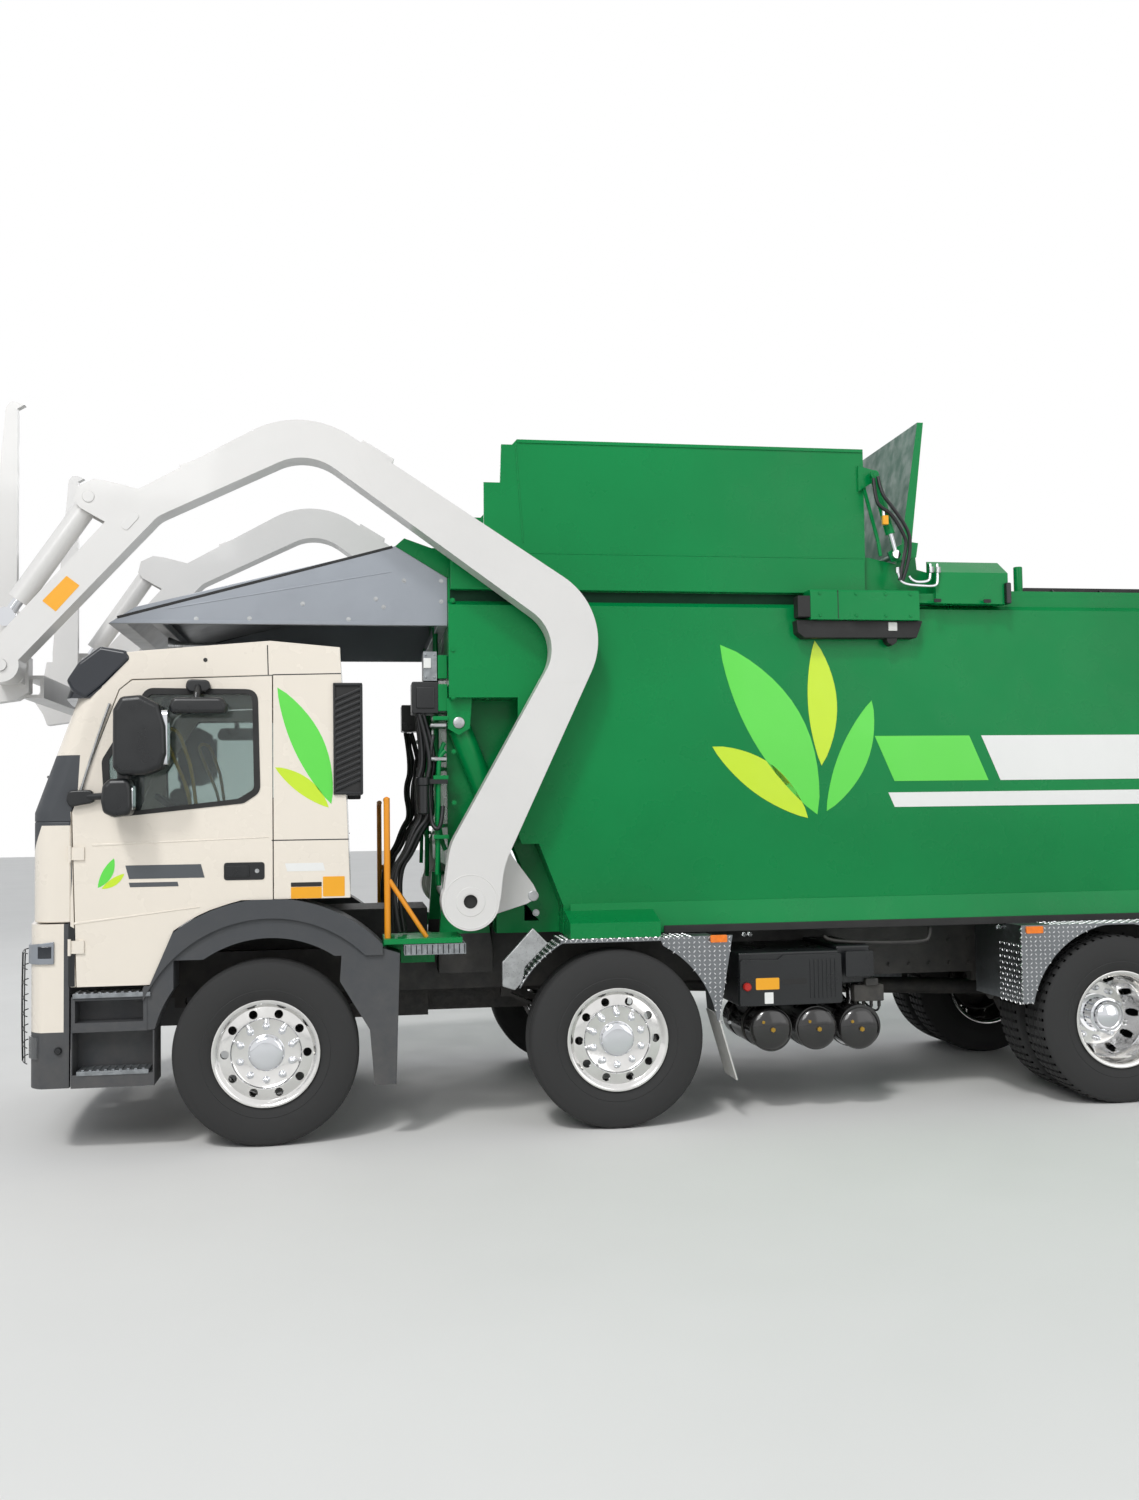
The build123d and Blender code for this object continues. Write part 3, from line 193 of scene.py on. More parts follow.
def surface(name, colour, roughness, metal=0.0, coat=0.0, tone=0.06, tone_size=0.8, rough_spread=0.06,
            grain_size=0.0, grain_depth=0.0, dust=0.0, specular=0.5):
    """Paint, plastic or metal with uneven tone, uneven gloss, a fine grain and road dust low down."""
    material, shader, place = start(name)
    if material is None:
        return bpy.data.materials[name]
    tree = material.node_tree
    wide = uneven(tree, place, 1.0 / tone_size, 3.0, 0.0, 1.0)
    mixed = node(tree, "Mix", {"Factor": wide, 6: shade(colour, 1 - tone), 7: shade(colour, 1 + tone * 0.5)},
                 data_type="RGBA").outputs[2]
    if dust:
        height = node(tree, "SeparateXYZ", {"Vector": place}).outputs["Z"]
        low_down = node(tree, "MapRange", {"Value": height, "From Min": 0.0, "From Max": 1.5,
                                           "To Min": dust, "To Max": 0.0}).outputs["Result"]
        patches = uneven(tree, place, 9.0, 5.0, 0.2, 1.0, 0.65, (0.3, 0.7))
        share = node(tree, "Math", {0: low_down, 1: patches}, operation="MULTIPLY").outputs[0]
        mixed = node(tree, "Mix", {"Factor": share, 6: mixed, 7: linear("#8D8478")},
                     data_type="RGBA").outputs[2]
    tree.links.new(mixed, shader.inputs["Base Color"])
    dullest = roughness + rough_spread
    gloss = uneven(tree, place, 6.0 / tone_size, 4.0, max(roughness - rough_spread, 0.02), dullest)
    tree.links.new(gloss, shader.inputs["Roughness"])
    shader.inputs["Metallic"].default_value = metal
    shader.inputs["Coat Weight"].default_value = coat
    shader.inputs["Coat Roughness"].default_value = 0.06
    if not metal:
        shader.inputs["Specular IOR Level"].default_value = specular
    if grain_depth:
        grain = node(tree, "TexNoise", {"Vector": place, "Scale": 1.0 / grain_size, "Detail": 3.0,
                                        "Roughness": 0.5})
        bump = node(tree, "Bump", {"Height": grain.outputs["Fac"], "Strength": 1.0, "Distance": grain_depth})
        tree.links.new(bump.outputs["Normal"], shader.inputs["Normal"])
    return material


def cream_enamel():
    # Two-pack acrylic enamel, sprayed and polished: deep even gloss with a faint orange peel
    return surface("cream_enamel", tuple(colours().cab), 0.28, coat=0.6, tone=0.02, tone_size=1.6,
                   grain_size=0.012, grain_depth=0.00008, dust=0.05)


def green_enamel():
    # Industrial enamel sprayed on welded plate: glossy, a little uneven where the plate pulls
    return surface("green_enamel", tuple(colours().body), 0.30, coat=0.05, tone=0.10, tone_size=1.4,
                   grain_size=0.35, grain_depth=0.003, dust=0.05, specular=0.22)


def channel_enamel():
    # The same green enamel, darkened to paint the shade in the channel under the wing
    return surface("channel_enamel", linear("#07301D"), 0.55, tone=0.12, specular=0.15)


def worn_enamel():
    # Green enamel inside the lid, scuffed dull and greyed by refuse
    return surface("worn_enamel", linear("#2C5A49"), 0.5, tone=0.2, tone_size=0.5, rough_spread=0.1,
                   specular=0.3)


def white_enamel():
    # White enamel on thick plate: soft gloss, slightly grey in patches
    return surface("white_enamel", tuple(colours().arms), 0.36, coat=0.3, tone=0.035, tone_size=0.9,
                   grain_size=0.03, grain_depth=0.0004)


def silver_paint():
    # Aluminium-flake paint on folded sheet: a broad soft sheen
    return surface("silver_paint", tuple(colours().canopy), 0.38, metal=0.35, coat=0.2, tone=0.07,
                   grain_size=0.3, grain_depth=0.002)


def grey_plastic():
    # Injection-moulded polypropylene, spark-eroded grain: matt with a weak sheen
    return surface("grey_plastic", tuple(colours().plastic), 0.55, tone=0.08, grain_size=0.0025,
                   grain_depth=0.0002, dust=0.22)


def black_plastic():
    # Smooth moulded ABS: near black, half gloss
    return surface("black_plastic", linear("#16181A"), 0.32, tone=0.1, grain_size=0.004, grain_depth=0.0001)


def visor_acrylic():
    # Smoked acrylic sheet, blown to shape: dark blue-grey and glossy
    return surface("visor_acrylic", linear("#131A24"), 0.12, coat=0.6, tone=0.1)


def tyre_rubber():
    # Vulcanised rubber: dark grey, matt, with dust in the low places
    return surface("tyre_rubber", linear("#1B1B1C"), 0.68, tone=0.2, tone_size=0.25, grain_size=0.006,
                   grain_depth=0.0004, dust=0.09)


def soft_rubber():
    # Moulded rubber stops and seals: black and dull
    return surface("soft_rubber", linear("#131313"), 0.62, tone=0.15, grain_size=0.004, grain_depth=0.0002)


def frame_enamel():
    # Chassis enamel over steel: black, half matt, with road dust
    return surface("frame_enamel", linear("#17181A"), 0.5, tone=0.15, tone_size=0.4, grain_size=0.02,
                   grain_depth=0.0004, dust=0.30)


def cast_iron():
    # Sand-cast iron under a thin coat: dark, rough, dusty
    return surface("cast_iron", linear("#232527"), 0.62, metal=0.2, tone=0.25, tone_size=0.2,
                   grain_size=0.006, grain_depth=0.0008, dust=0.30)


def tank_enamel():
    # Powder-coated pressure tank: glossy black
    return surface("tank_enamel", linear("#0E0F12"), 0.16, coat=0.5, tone=0.1, dust=0.08)


def orange_enamel():
    # Safety orange enamel on tube
    return surface("orange_enamel", tuple(colours().rail), 0.36, coat=0.3, tone=0.06)


def yellow_enamel():
    # Yellow enamel on a bent steel handle
    return surface("yellow_enamel", linear("#D9B21C"), 0.34, coat=0.3, tone=0.05)


def hose_rubber():
    # Wire-braided hose with a smooth black cover
    return surface("hose_rubber", linear("#17181A"), 0.42, tone=0.2, tone_size=0.1, dust=0.1)


def brass():
    # Turned brass fittings: dull gold
    return surface("brass", linear("#B08D3F"), 0.3, metal=1.0, tone=0.12, tone_size=0.02)


def red_plastic():
    # Red moulded knob
    return surface("red_plastic", linear("#B3221A"), 0.35, tone=0.08, tone_size=0.02)


def label_film():
    # Orange-yellow vinyl film, printed with nothing
    return surface("label_film", linear("#F0A81E"), 0.42, tone=0.03)


def lime_film():
    # Cast vinyl film in lime green: flat and half gloss
    return surface("lime_film", tuple(colours().motif), 0.38, coat=0.2, tone=0.03)


def pale_film():
    # Cast vinyl film in yellow-green
    return surface("pale_film", tuple(colours().motif_pale), 0.38, coat=0.2, tone=0.03)


def white_film():
    # Cast vinyl film in white
    return surface("white_film", linear("#E9E9E6"), 0.38, coat=0.2, tone=0.02)


def grey_film():
    # Cast vinyl film in dark grey
    return surface("grey_film", linear("#4C5054"), 0.4, coat=0.2, tone=0.03)


def polished_aluminium():
    # Forged aluminium, lathe-turned and buffed: near mirror with a faint haze
    return surface("polished_aluminium", linear("#E2E1DF"), 0.14, metal=1.0, tone=0.05, tone_size=0.1,
                   rough_spread=0.05)


def chrome():
    # Chromium plate on steel: clean mirror
    return surface("chrome", linear("#DCDEE2"), 0.07, metal=1.0, tone=0.03, rough_spread=0.03)


def bare_steel():
    # Zinc-plated steel: pale, dull and mottled
    return surface("bare_steel", linear("#A9ABAC"), 0.36, metal=1.0, tone=0.14, tone_size=0.05,
                   rough_spread=0.1)


def galvanised_steel():
    # Hot-dip zinc: grey with a spangle a few centimetres across
    return surface("galvanised_steel", linear("#8F9396"), 0.42, metal=0.85, tone=0.22, tone_size=0.035,
                   rough_spread=0.12)


def tread_plate():
    # Rolled aluminium tread plate: dull and lightly scratched between its bars
    return surface("tread_plate", linear("#7E8184"), 0.40, metal=1.0, tone=0.10, tone_size=0.3,
                   rough_spread=0.08)


def tread_rib():
    # The raised bars of tread plate, rubbed bright by boots
    return surface("tread_rib", linear("#DEDFE0"), 0.24, metal=1.0, tone=0.05, tone_size=0.2)


def flap_plastic():
    # White polyethylene sheet, slightly dirty
    return surface("flap_plastic", linear("#CFCFCB"), 0.48, tone=0.1, dust=0.35)


def seat_cloth():
    # Woven seat cloth: dark grey, 1 mm weave drawn at 3 mm so that it shows
    return surface("seat_cloth", linear("#34373C"), 0.85, tone=0.15, grain_size=0.003, grain_depth=0.0008,
                   specular=0.2)


def trim_plastic():
    # Soft grey interior moulding
    return surface("trim_plastic", linear("#4A4C4E"), 0.6, tone=0.1, grain_size=0.003, grain_depth=0.0002)


def amber_lens():
    # Amber polycarbonate lens
    return surface("amber_lens", linear("#F57C0A"), 0.14, coat=0.5, tone=0.1, tone_size=0.02)


def red_lens():
    # Red polycarbonate lens
    return surface("red_lens", linear("#A3130F"), 0.14, coat=0.5, tone=0.1, tone_size=0.02)


def lamp_reflector():
    # Aluminised reflector behind the clear lens
    return surface("lamp_reflector", linear("#C9CCD0"), 0.18, metal=1.0, tone=0.1, tone_size=0.03)


def clear_material(name, colour, roughness, weight):
    """Tinted glass or plastic that lets light through without bending it much."""
    material, shader, place = start(name)
    if material is None:
        return bpy.data.materials[name]
    tree = material.node_tree
    gloss = uneven(tree, place, 6.0, 4.0, roughness, roughness + 0.04, 0.6)
    tree.links.new(gloss, shader.inputs["Roughness"])
    shader.inputs["Base Color"].default_value = colour
    shader.inputs["Transmission Weight"].default_value = weight
    shader.inputs["IOR"].default_value = 1.45
    return material


def tinted_glass():
    # Toughened float glass with a grey-green tint
    return clear_material("tinted_glass", linear("#BCC9C6"), 0.01, 0.95)


def clear_lens():
    # Clear polycarbonate lamp lens
    return clear_material("clear_lens", linear("#EEF1F3"), 0.02, 0.95)


# Mesh tools
def mirror_across(bm):
    """Add the same shape on the other side of the truck."""
    made = bmesh.ops.duplicate(bm, geom=everything(bm))["geom"]
    verts = [part for part in made if isinstance(part, bmesh.types.BMVert)]
    faces = [part for part in made if isinstance(part, bmesh.types.BMFace)]
    bmesh.ops.scale(bm, vec=(1, -1, 1), verts=verts)
    bmesh.ops.reverse_faces(bm, faces=faces)


def round_edges(bm, width, segments=2):
    """Bevel the edges that turn sharply."""
    sharp = [edge for edge in bm.edges if edge.is_manifold and edge.calc_face_angle() > SHARP]
    if sharp:
        bmesh.ops.bevel(bm, geom=sharp, offset=width, offset_type="OFFSET", segments=segments, profile=0.5,
                        affect="EDGES", material=-1, clamp_overlap=True)


def make(name, bm, body, material, bevel=0.0, both=False, smooth=40, replaces=None):
    """Turn a bmesh into a piece that rides on a body. Places are from the front axle until here."""
    if bevel:
        round_edges(bm, bevel)
    if both:
        mirror_across(bm)
    bmesh.ops.recalc_face_normals(bm, faces=bm.faces[:])
    bmesh.ops.translate(bm, vec=(FRONT, 0, 0), verts=bm.verts[:])
    return store(name, bm, body, material, smooth, replaces)


def shaped(name, draw, shapes, body, material, **finish):
    """A piece drawn with one of the mesh tools, called once for each shape."""
    bm = bmesh.new()
    for shape in shapes:
        draw(bm, *shape)
    return make(name, bm, body, material, **finish)


def make_for_side(name, bm, side, body, material, **finish):
    """A piece drawn on the left of the truck, brought to its own side."""
    if side < 0:
        bmesh.ops.scale(bm, vec=(1, -1, 1), verts=bm.verts[:])
    return make(name, bm, body, material, **finish)


def store(name, bm, body, material, smooth=40, replaces=None):
    """Keep a bmesh as a smooth-shaded piece on a body."""
    mesh = bpy.data.meshes.new(name)
    for face in bm.faces:
        face.smooth = True
    bm.to_mesh(mesh)
    bm.free()
    mesh.set_sharp_from_angle(angle=math.radians(smooth))
    piece = bpy.data.objects.new(name, mesh)
    bpy.context.scene.collection.objects.link(piece)
    for each in material if isinstance(material, list) else [material]:
        mesh.materials.append(each)
    even = piece.modifiers.new("even_shading", "WEIGHTED_NORMAL")
    even.keep_sharp = True
    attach(piece, body)
    for each in replaces or []:
        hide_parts(each)
    return piece


def slab(bm, outline, low, high, axis="y"):
    """Push a flat outline out to a plate between two planes."""
    order = {"y": lambda a, b, c: (a, c, b), "x": lambda a, b, c: (c, a, b)}[axis]
    face = bm.faces.new([bm.verts.new(order(a, b, low)) for a, b in outline])
    made = bmesh.ops.extrude_face_region(bm, geom=[face])["geom"]
    verts = [part for part in made if isinstance(part, bmesh.types.BMVert)]
    bmesh.ops.translate(bm, vec=order(0, 0, high - low), verts=verts)
    return verts


def block(bm, x, y, z):
    """A box from (low, high) pairs."""
    size = Matrix.Diagonal((x[1] - x[0], y[1] - y[0], z[1] - z[0], 1))
    centre = Matrix.Translation(((x[0] + x[1]) / 2, (y[0] + y[1]) / 2, (z[0] + z[1]) / 2))
    return bmesh.ops.create_cube(bm, size=1.0, matrix=centre @ size)["verts"]


def rod(bm, start_at, end_at, radius, end_radius=None, steps=16):
    """A round bar between two points."""
    start_at, end_at = Vector(start_at), Vector(end_at)
    reach = end_at - start_at
    turn = reach.to_track_quat("Z", "Y").to_matrix().to_4x4()
    place = Matrix.Translation((start_at + end_at) / 2) @ turn
    last = radius if end_radius is None else end_radius
    return bmesh.ops.create_cone(bm, cap_ends=True, segments=steps, radius1=radius, radius2=last,
                                 depth=reach.length, matrix=place)["verts"]


def turned(bm, section, centre, axis, steps=48):
    """Spin a closed section of (along, radius) points about an axis through a centre."""
    side = Vector((0, 0, 1)) if abs(axis[2]) < 0.5 else Vector((1, 0, 0))
    axis = Vector(axis)
    centre = Vector(centre)
    verts = [bm.verts.new(centre + axis * along + side * max(radius, 0.0)) for along, radius in section]
    edges = [bm.edges.new((verts[place], verts[(place + 1) % len(verts)])) for place in range(len(verts))]
    bmesh.ops.spin(bm, geom=verts + edges, cent=centre, axis=axis, angle=2 * math.pi, steps=steps,
                   use_merge=True)


def rounded(outline, radius, steps=4):
    """A closed outline with each corner turned into an arc."""
    points = []
    count = len(outline)
    for place in range(count):
        corner = Vector(outline[place])
        before = Vector(outline[place - 1]) - corner
        after = Vector(outline[(place + 1) % count]) - corner
        half = before.angle(after) / 2
        reach = min(radius / math.tan(half), before.length * 0.49, after.length * 0.49)
        start_at = corner + before.normalized() * reach
        end_at = corner + after.normalized() * reach
        for step in range(steps + 1):
            share = step / steps
            first = start_at.lerp(corner, share)
            second = corner.lerp(end_at, share)
            points.append(tuple(first.lerp(second, share)))
    return points


def box_outline(x, z):
    """Outline of a rectangle."""
    return [(x[0], z[0]), (x[1], z[0]), (x[1], z[1]), (x[0], z[1])]


def hose(name, body, routes, radius, material, both=False):
    """Smooth tubes along lists of points."""
    curve = bpy.data.curves.new(name, "CURVE")
    curve.dimensions = "3D"
    curve.bevel_depth = radius
    curve.bevel_resolution = 3
    curve.resolution_u = 8
    curve.use_fill_caps = True
    routes = list(routes)
    if both:
        routes += [[(x, -y, z) for x, y, z in route] for route in routes]
    for route in routes:
        spline = curve.splines.new("NURBS")
        spline.points.add(len(route) - 1)
        for point, (x, y, z) in zip(spline.points, route):
            point.co = (x + FRONT, y, z, 1)
        spline.order_u = 3
        spline.use_endpoint_u = True
    piece = bpy.data.objects.new(name, curve)
    bpy.context.scene.collection.objects.link(piece)
    curve.materials.append(material)
    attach(piece, body)
    return piece


def bolt(bm, place, axis, across=0.022, height=0.009):
    """A hexagon head on its washer."""
    place, axis = Vector(place), Vector(axis)
    rod(bm, place - axis * 0.003, place + axis * height * 0.3, across * 0.75, steps=16)
    rod(bm, place, place + axis * height, across * 0.56, across * 0.50, steps=6)


def plate(bm, x, z, corner, low, high):
    """A flat plate with round corners, facing the side."""
    slab(bm, rounded(box_outline(x, z), corner), low, high)


def everything(bm):
    """All that a cutting plane may cut."""
    return bm.verts[:] + bm.edges[:] + bm.faces[:]


def skin(node_name):
    """The surface of a CAD node, to lay things on by rays."""
    bm = bmesh.new()
    bm.from_mesh(frame["nodes"][node_name].data)
    tree = BVHTree.FromBMesh(bm)
    bm.free()
    return tree


# Tread plate: the step from bar to bar and from row to row, and the half sizes of one bar
BAR_STEP, BAR_ROW = 0.0305, 0.0265
BAR_LENGTH, BAR_WIDTH, BAR_HEIGHT = 0.030, 0.0105, 0.004
BAR_REACH = 0.32


def tread_bars(name, node_name, rays, material):
    """Raised bars of tread plate where rays meet a node, each at right angles to the next."""
    tree = skin(node_name)
    bm = bmesh.new()
    bmesh.ops.create_cone(bm, cap_ends=True, segments=4, radius1=0.5, radius2=0.34, depth=1.0)
    stamp = bpy.data.meshes.new("stamp")
    bm.to_mesh(stamp)
    bm.clear()
    for turn, origin, towards, along in rays:
        place, normal, _, reach = tree.ray_cast(origin, towards)
        if place is None or reach > BAR_REACH or normal.dot(towards) > -0.8:
            continue
        across = normal.cross(along).normalized()
        along = across.cross(normal)
        long_way = (along + across * turn).normalized() * BAR_LENGTH
        wide_way = (across - along * turn).normalized() * BAR_WIDTH
        bar = stamp.copy()
        spot = Matrix((long_way, wide_way, normal * BAR_HEIGHT)).transposed().to_4x4()
        bar.transform(Matrix.Translation(place) @ spot)
        bm.from_mesh(bar)
        bpy.data.meshes.remove(bar)
    bpy.data.meshes.remove(stamp)
    return store(name, bm, body_of(node_name), material, smooth=20)


def body_of(node_name):
    """The body that carries a CAD node."""
    return frame["nodes"][node_name]["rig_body"]


def clean_copy(node_name):
    """A bmesh of a CAD node with its loose triangles joined into flat faces."""
    bm = bmesh.new()
    bm.from_mesh(frame["nodes"][node_name].data)
    bmesh.ops.remove_doubles(bm, verts=bm.verts[:], dist=0.00002)
    bmesh.ops.dissolve_limit(bm, angle_limit=math.radians(0.6), verts=bm.verts[:], edges=bm.edges[:])
    return bm


def soften(name, node_name, material, width, keep=None, paint=None):
    """A copy of a CAD node, or of its solids chosen by their middles, with its edges rounded."""
    bm = clean_copy(node_name)
    if keep:
        left = set(bm.verts)
        while left:
            island = set()
            queue = [next(iter(left))]
            while queue:
                vert = queue.pop()
                if vert in island:
                    continue
                island.add(vert)
                queue += [edge.other_vert(vert) for edge in vert.link_edges]
            left -= island
            centre = sum((vert.co for vert in island), Vector()) / len(island)
            centre.x -= FRONT
            if not keep(centre):
                bmesh.ops.delete(bm, geom=list(island), context="VERTS")
    if width:
        round_edges(bm, width)
    bmesh.ops.recalc_face_normals(bm, faces=bm.faces[:])
    if paint:
        for face in bm.faces:
            face.material_index = paint(face)
    return store(name, bm, body_of(node_name), material, replaces=[node_name])


def cover(node_name, material):
    """Give a CAD node a finish."""
    target = frame["nodes"][node_name]
    target.data.materials.clear()
    target.data.materials.append(material)


# Wheels. Sections are (inset from the wheel's outer face, radius)
TYRE_W = 0.285
TWIN_STEP = 0.345
HAND_HOLES = 10
HAND_HOLE_RING, HAND_HOLE_R = 0.226, 0.024
LUG_STEPS = 168
RIM_EDGE = [
    (0.009, 0.2925), (0.010, 0.297), (0.029, 0.297), (0.030, 0.2835), (0.090, 0.277), (0.190, 0.277),
    (0.255, 0.2835), (0.256, 0.297), (0.272, 0.297), (0.273, 0.270),
]
RIM_LIP = [(0.028, 0.268), (0.017, 0.276), (0.011, 0.284)]


def spun(bm, points, x, side, steps):
    """Spin a closed section about the axle at X, on one side of the truck."""
    section = [(-inset * side, radius) for inset, radius in points]
    turned(bm, section, (x, FACE_Y * side, WHEEL_Z), (0, 1, 0), steps)


def tyre_profile(width, grooves):
    """Closed section of a tyre: (inset from the wheel's face, radius), with grooves in the tread."""
    wall = [
        (0.031, 0.2845), (0.026, 0.300), (0.014, 0.318), (0.008, 0.340), (0.004, 0.352), (0.006, 0.356),
        (0.002, 0.372), (0.000, 0.395), (0.001, 0.425), (0.004, 0.450), (0.009, 0.470), (0.013, 0.478),
        (0.014, 0.486), (0.019, 0.497), (0.027, 0.506), (0.040, 0.511),
    ]
    tread = []
    depth = sizes().tread
    for place in grooves:
        tread += [(place - 0.006, TYRE_R - 0.0008), (place - 0.003, TYRE_R - depth),
                  (place + 0.003, TYRE_R - depth), (place + 0.006, TYRE_R - 0.0008)]
    other = [(width - inset, radius) for inset, radius in reversed(wall)]
    inner = [(width - 0.05, 0.2835), (width - 0.03, 0.36), (width / 2, 0.49), (0.03, 0.36), (0.05, 0.2835)]
    return wall + tread + other + inner


def tyre(bm, x, side, inset, grooves, steps):
    """One tyre, with its outer wall inset from the wheel's face."""
    section = [(inset + along, radius) for along, radius in tyre_profile(TYRE_W, grooves)]
    spun(bm, section, x, side, steps)


def cut_lugs(bm, x, pitch, depth):
    """Press slots across the shoulders of the tread, one in each pitch of faces."""
    slots = []
    for face in bm.faces:
        centre = face.calc_center_median()
        reach = Vector((centre.x - x, 0, centre.z - WHEEL_Z))
        turn = math.degrees(math.atan2(reach.z, reach.x)) % 360
        radius = reach.length
        step = int(turn / 360 * LUG_STEPS)
        if radius > TYRE_R - 0.012 and abs(face.normal.y) < 0.93 and step % pitch == 0:
            slots.append(face)
    made = bmesh.ops.extrude_discrete_faces(bm, faces=slots)["faces"]
    for face in made:
        centre = face.calc_center_median()
        inward = Vector((x - centre.x, 0, WHEEL_Z - centre.z)).normalized()
        bmesh.ops.translate(bm, vec=inward * depth, verts=face.verts[:])


def make_tyres():
    """Single tyres on the steered axles, twin tyres with lugs on the drive axles."""
    rubber = tyre_rubber()
    kinds = (
        (STEER, "tyre", "dressed_tyre", (0.0,), (0.068, 0.118, 0.167, 0.217), 96),
        (DRIVE, "twin_tyres", "dressed_tyres", (0.0, TWIN_STEP), (0.085, 0.142, 0.200), LUG_STEPS),
    )
    for numbers, kind, name, insets, grooves, steps in kinds:
        for number in numbers:
            x = AXLE[number].x - FRONT
            for side_name, side in SIDES:
                bm = bmesh.new()
                for inset in insets:
                    tyre(bm, x, side, inset, grooves, steps)
                if steps == LUG_STEPS:
                    cut_lugs(bm, x, 3, 0.009)
                node_name = f"{kind}_{number}_{side_name}"
                make(f"{name}_{number}_{side_name}", bm, body_of(node_name), rubber,
                     replaces=[node_name], smooth=35)


def drill(piece, x, side, depth):
    """Cut the hand holes through a wheel disc."""
    bm = bmesh.new()
    for step in range(HAND_HOLES):
        turn = 2 * math.pi * step / HAND_HOLES
        centre = Vector((FRONT + x + HAND_HOLE_RING * math.cos(turn), 0,
                         WHEEL_Z + HAND_HOLE_RING * math.sin(turn)))
        ends = [centre + Vector((0, side * y, 0)) for y in (FACE_Y - depth, FACE_Y + 0.02)]
        rod(bm, *ends, HAND_HOLE_R, steps=28)
    mesh = bpy.data.meshes.new("drill")
    bm.to_mesh(mesh)
    bm.free()
    cutter = bpy.data.objects.new("drill", mesh)
    bpy.context.scene.collection.objects.link(cutter)
    cut = piece.modifiers.new("hand_holes", "BOOLEAN")
    cut.operation = "DIFFERENCE"
    cut.object = cutter
    cut.solver = "EXACT"
    graph = bpy.context.evaluated_depsgraph_get()
    piece.modifiers.remove(piece.modifiers["even_shading"])
    graph.update()
    result = bpy.data.meshes.new_from_object(piece.evaluated_get(graph))
    piece.modifiers.clear()
    piece.data = result
    result.set_sharp_from_angle(angle=math.radians(35))
    bpy.data.objects.remove(cutter)


def nuts(bm, x, side, ring_r, inset, height):
    """Capped wheel nuts on their bolt circle."""
    across = sizes().nut / 2
    section = [(0.0, 0.0), (0.0, across * 1.15), (0.006, across * 1.15), (0.008, across),
               (height * 0.55, across), (height * 0.62, across * 0.82), (height * 0.9, across * 0.72),
               (height, across * 0.4), (height, 0.0)]
    for step in range(10):
        turn = 2 * math.pi * (step + 0.5) / 10
        centre = (x + ring_r * math.cos(turn), side * (FACE_Y - inset), WHEEL_Z + ring_r * math.sin(turn))
        turned(bm, [(along * side, radius) for along, radius in section], centre, (0, 1, 0), 12)


def make_hub(number, side_name, side, body, cap, nut_fit, drums):
    """Cap and nuts in one piece, and the brake drum with its hub behind them."""
    x = AXLE[number].x - FRONT
    bm = bmesh.new()
    spun(bm, cap, x, side, 72)
    nuts(bm, x, side, *nut_fit)
    make(f"hub_cap_{number}_{side_name}", bm, body, chrome(), smooth=35)
    bm = bmesh.new()
    for section in drums:
        spun(bm, section, x, side, 48)
    make(f"brake_drum_{number}_{side_name}", bm, body, cast_iron(), smooth=35)


def make_rims():
    """Wheel discs with their hand holes, hub caps, nuts and brake drums."""
    metal = polished_aluminium()
    single = RIM_EDGE + [
        (0.190, 0.262), (0.090, 0.262), (0.066, 0.262), (0.052, 0.215), (0.048, 0.196), (0.062, 0.190),
        (0.062, 0.060), (0.047, 0.060), (0.047, 0.178), (0.040, 0.190), (0.030, 0.193), (0.026, 0.198),
        (0.028, 0.225), (0.034, 0.250), (0.036, 0.258),
    ] + RIM_LIP
    single_cap = [
        (0.008, 0.0), (0.0085, 0.060), (0.011, 0.080), (0.017, 0.092), (0.026, 0.097), (0.046, 0.099),
        (0.048, 0.104), (0.052, 0.104), (0.052, 0.0),
    ]
    single_drums = (
        [(0.075, 0.12), (0.075, 0.205), (0.195, 0.205), (0.195, 0.193), (0.09, 0.193), (0.09, 0.12)],
        [(0.05, 0.052), (0.05, 0.12), (0.175, 0.12), (0.175, 0.052)],
    )
    outer = RIM_EDGE + [
        (0.212, 0.263), (0.322, 0.212), (0.329, 0.200), (0.329, 0.118), (0.315, 0.118), (0.315, 0.196),
        (0.306, 0.206), (0.205, 0.256), (0.190, 0.262), (0.090, 0.262),
    ] + RIM_LIP
    inner = [(0.674 - inset, radius) for inset, radius in outer]
    twin_cap = [
        (0.112, 0.0), (0.114, 0.030), (0.122, 0.060), (0.138, 0.086), (0.152, 0.094), (0.172, 0.096),
        (0.176, 0.110), (0.186, 0.110), (0.190, 0.098), (0.290, 0.100), (0.300, 0.118), (0.325, 0.118),
        (0.325, 0.060), (0.150, 0.060), (0.150, 0.0),
    ]
    twin_drums = (
        [(0.345, 0.12), (0.345, 0.21), (0.525, 0.21), (0.525, 0.198), (0.36, 0.198), (0.36, 0.12)],
        [(0.33, 0.062), (0.33, 0.12), (0.50, 0.12), (0.50, 0.062)],
    )
    # Each disc is (name, section, depth of its hand holes); nuts are (ring, inset, height)
    kinds = (
        (STEER, "rim", [("", single, 0.075)], single_cap, (0.1475, 0.047, 0.034), single_drums),
        (DRIVE, "twin_rims", [("outer_", outer, 0.40), ("inner_", inner, 0.46)], twin_cap,
         (0.160, 0.315, 0.040), twin_drums),
    )
    for numbers, kind, discs, cap, nut_fit, drums in kinds:
        for number in numbers:
            x = AXLE[number].x - FRONT
            for side_name, side in SIDES:
                node_name = f"{kind}_{number}_{side_name}"
                body = body_of(node_name)
                for name, section, depth in discs:
                    bm = bmesh.new()
                    spun(bm, section, x, side, 120)
                    disc = make(f"wheel_disc_{name}{number}_{side_name}", bm, body, metal,
                                replaces=[node_name], smooth=35)
                    drill(disc, x, side, depth)
                make_hub(number, side_name, side, body, cap, nut_fit, drums)


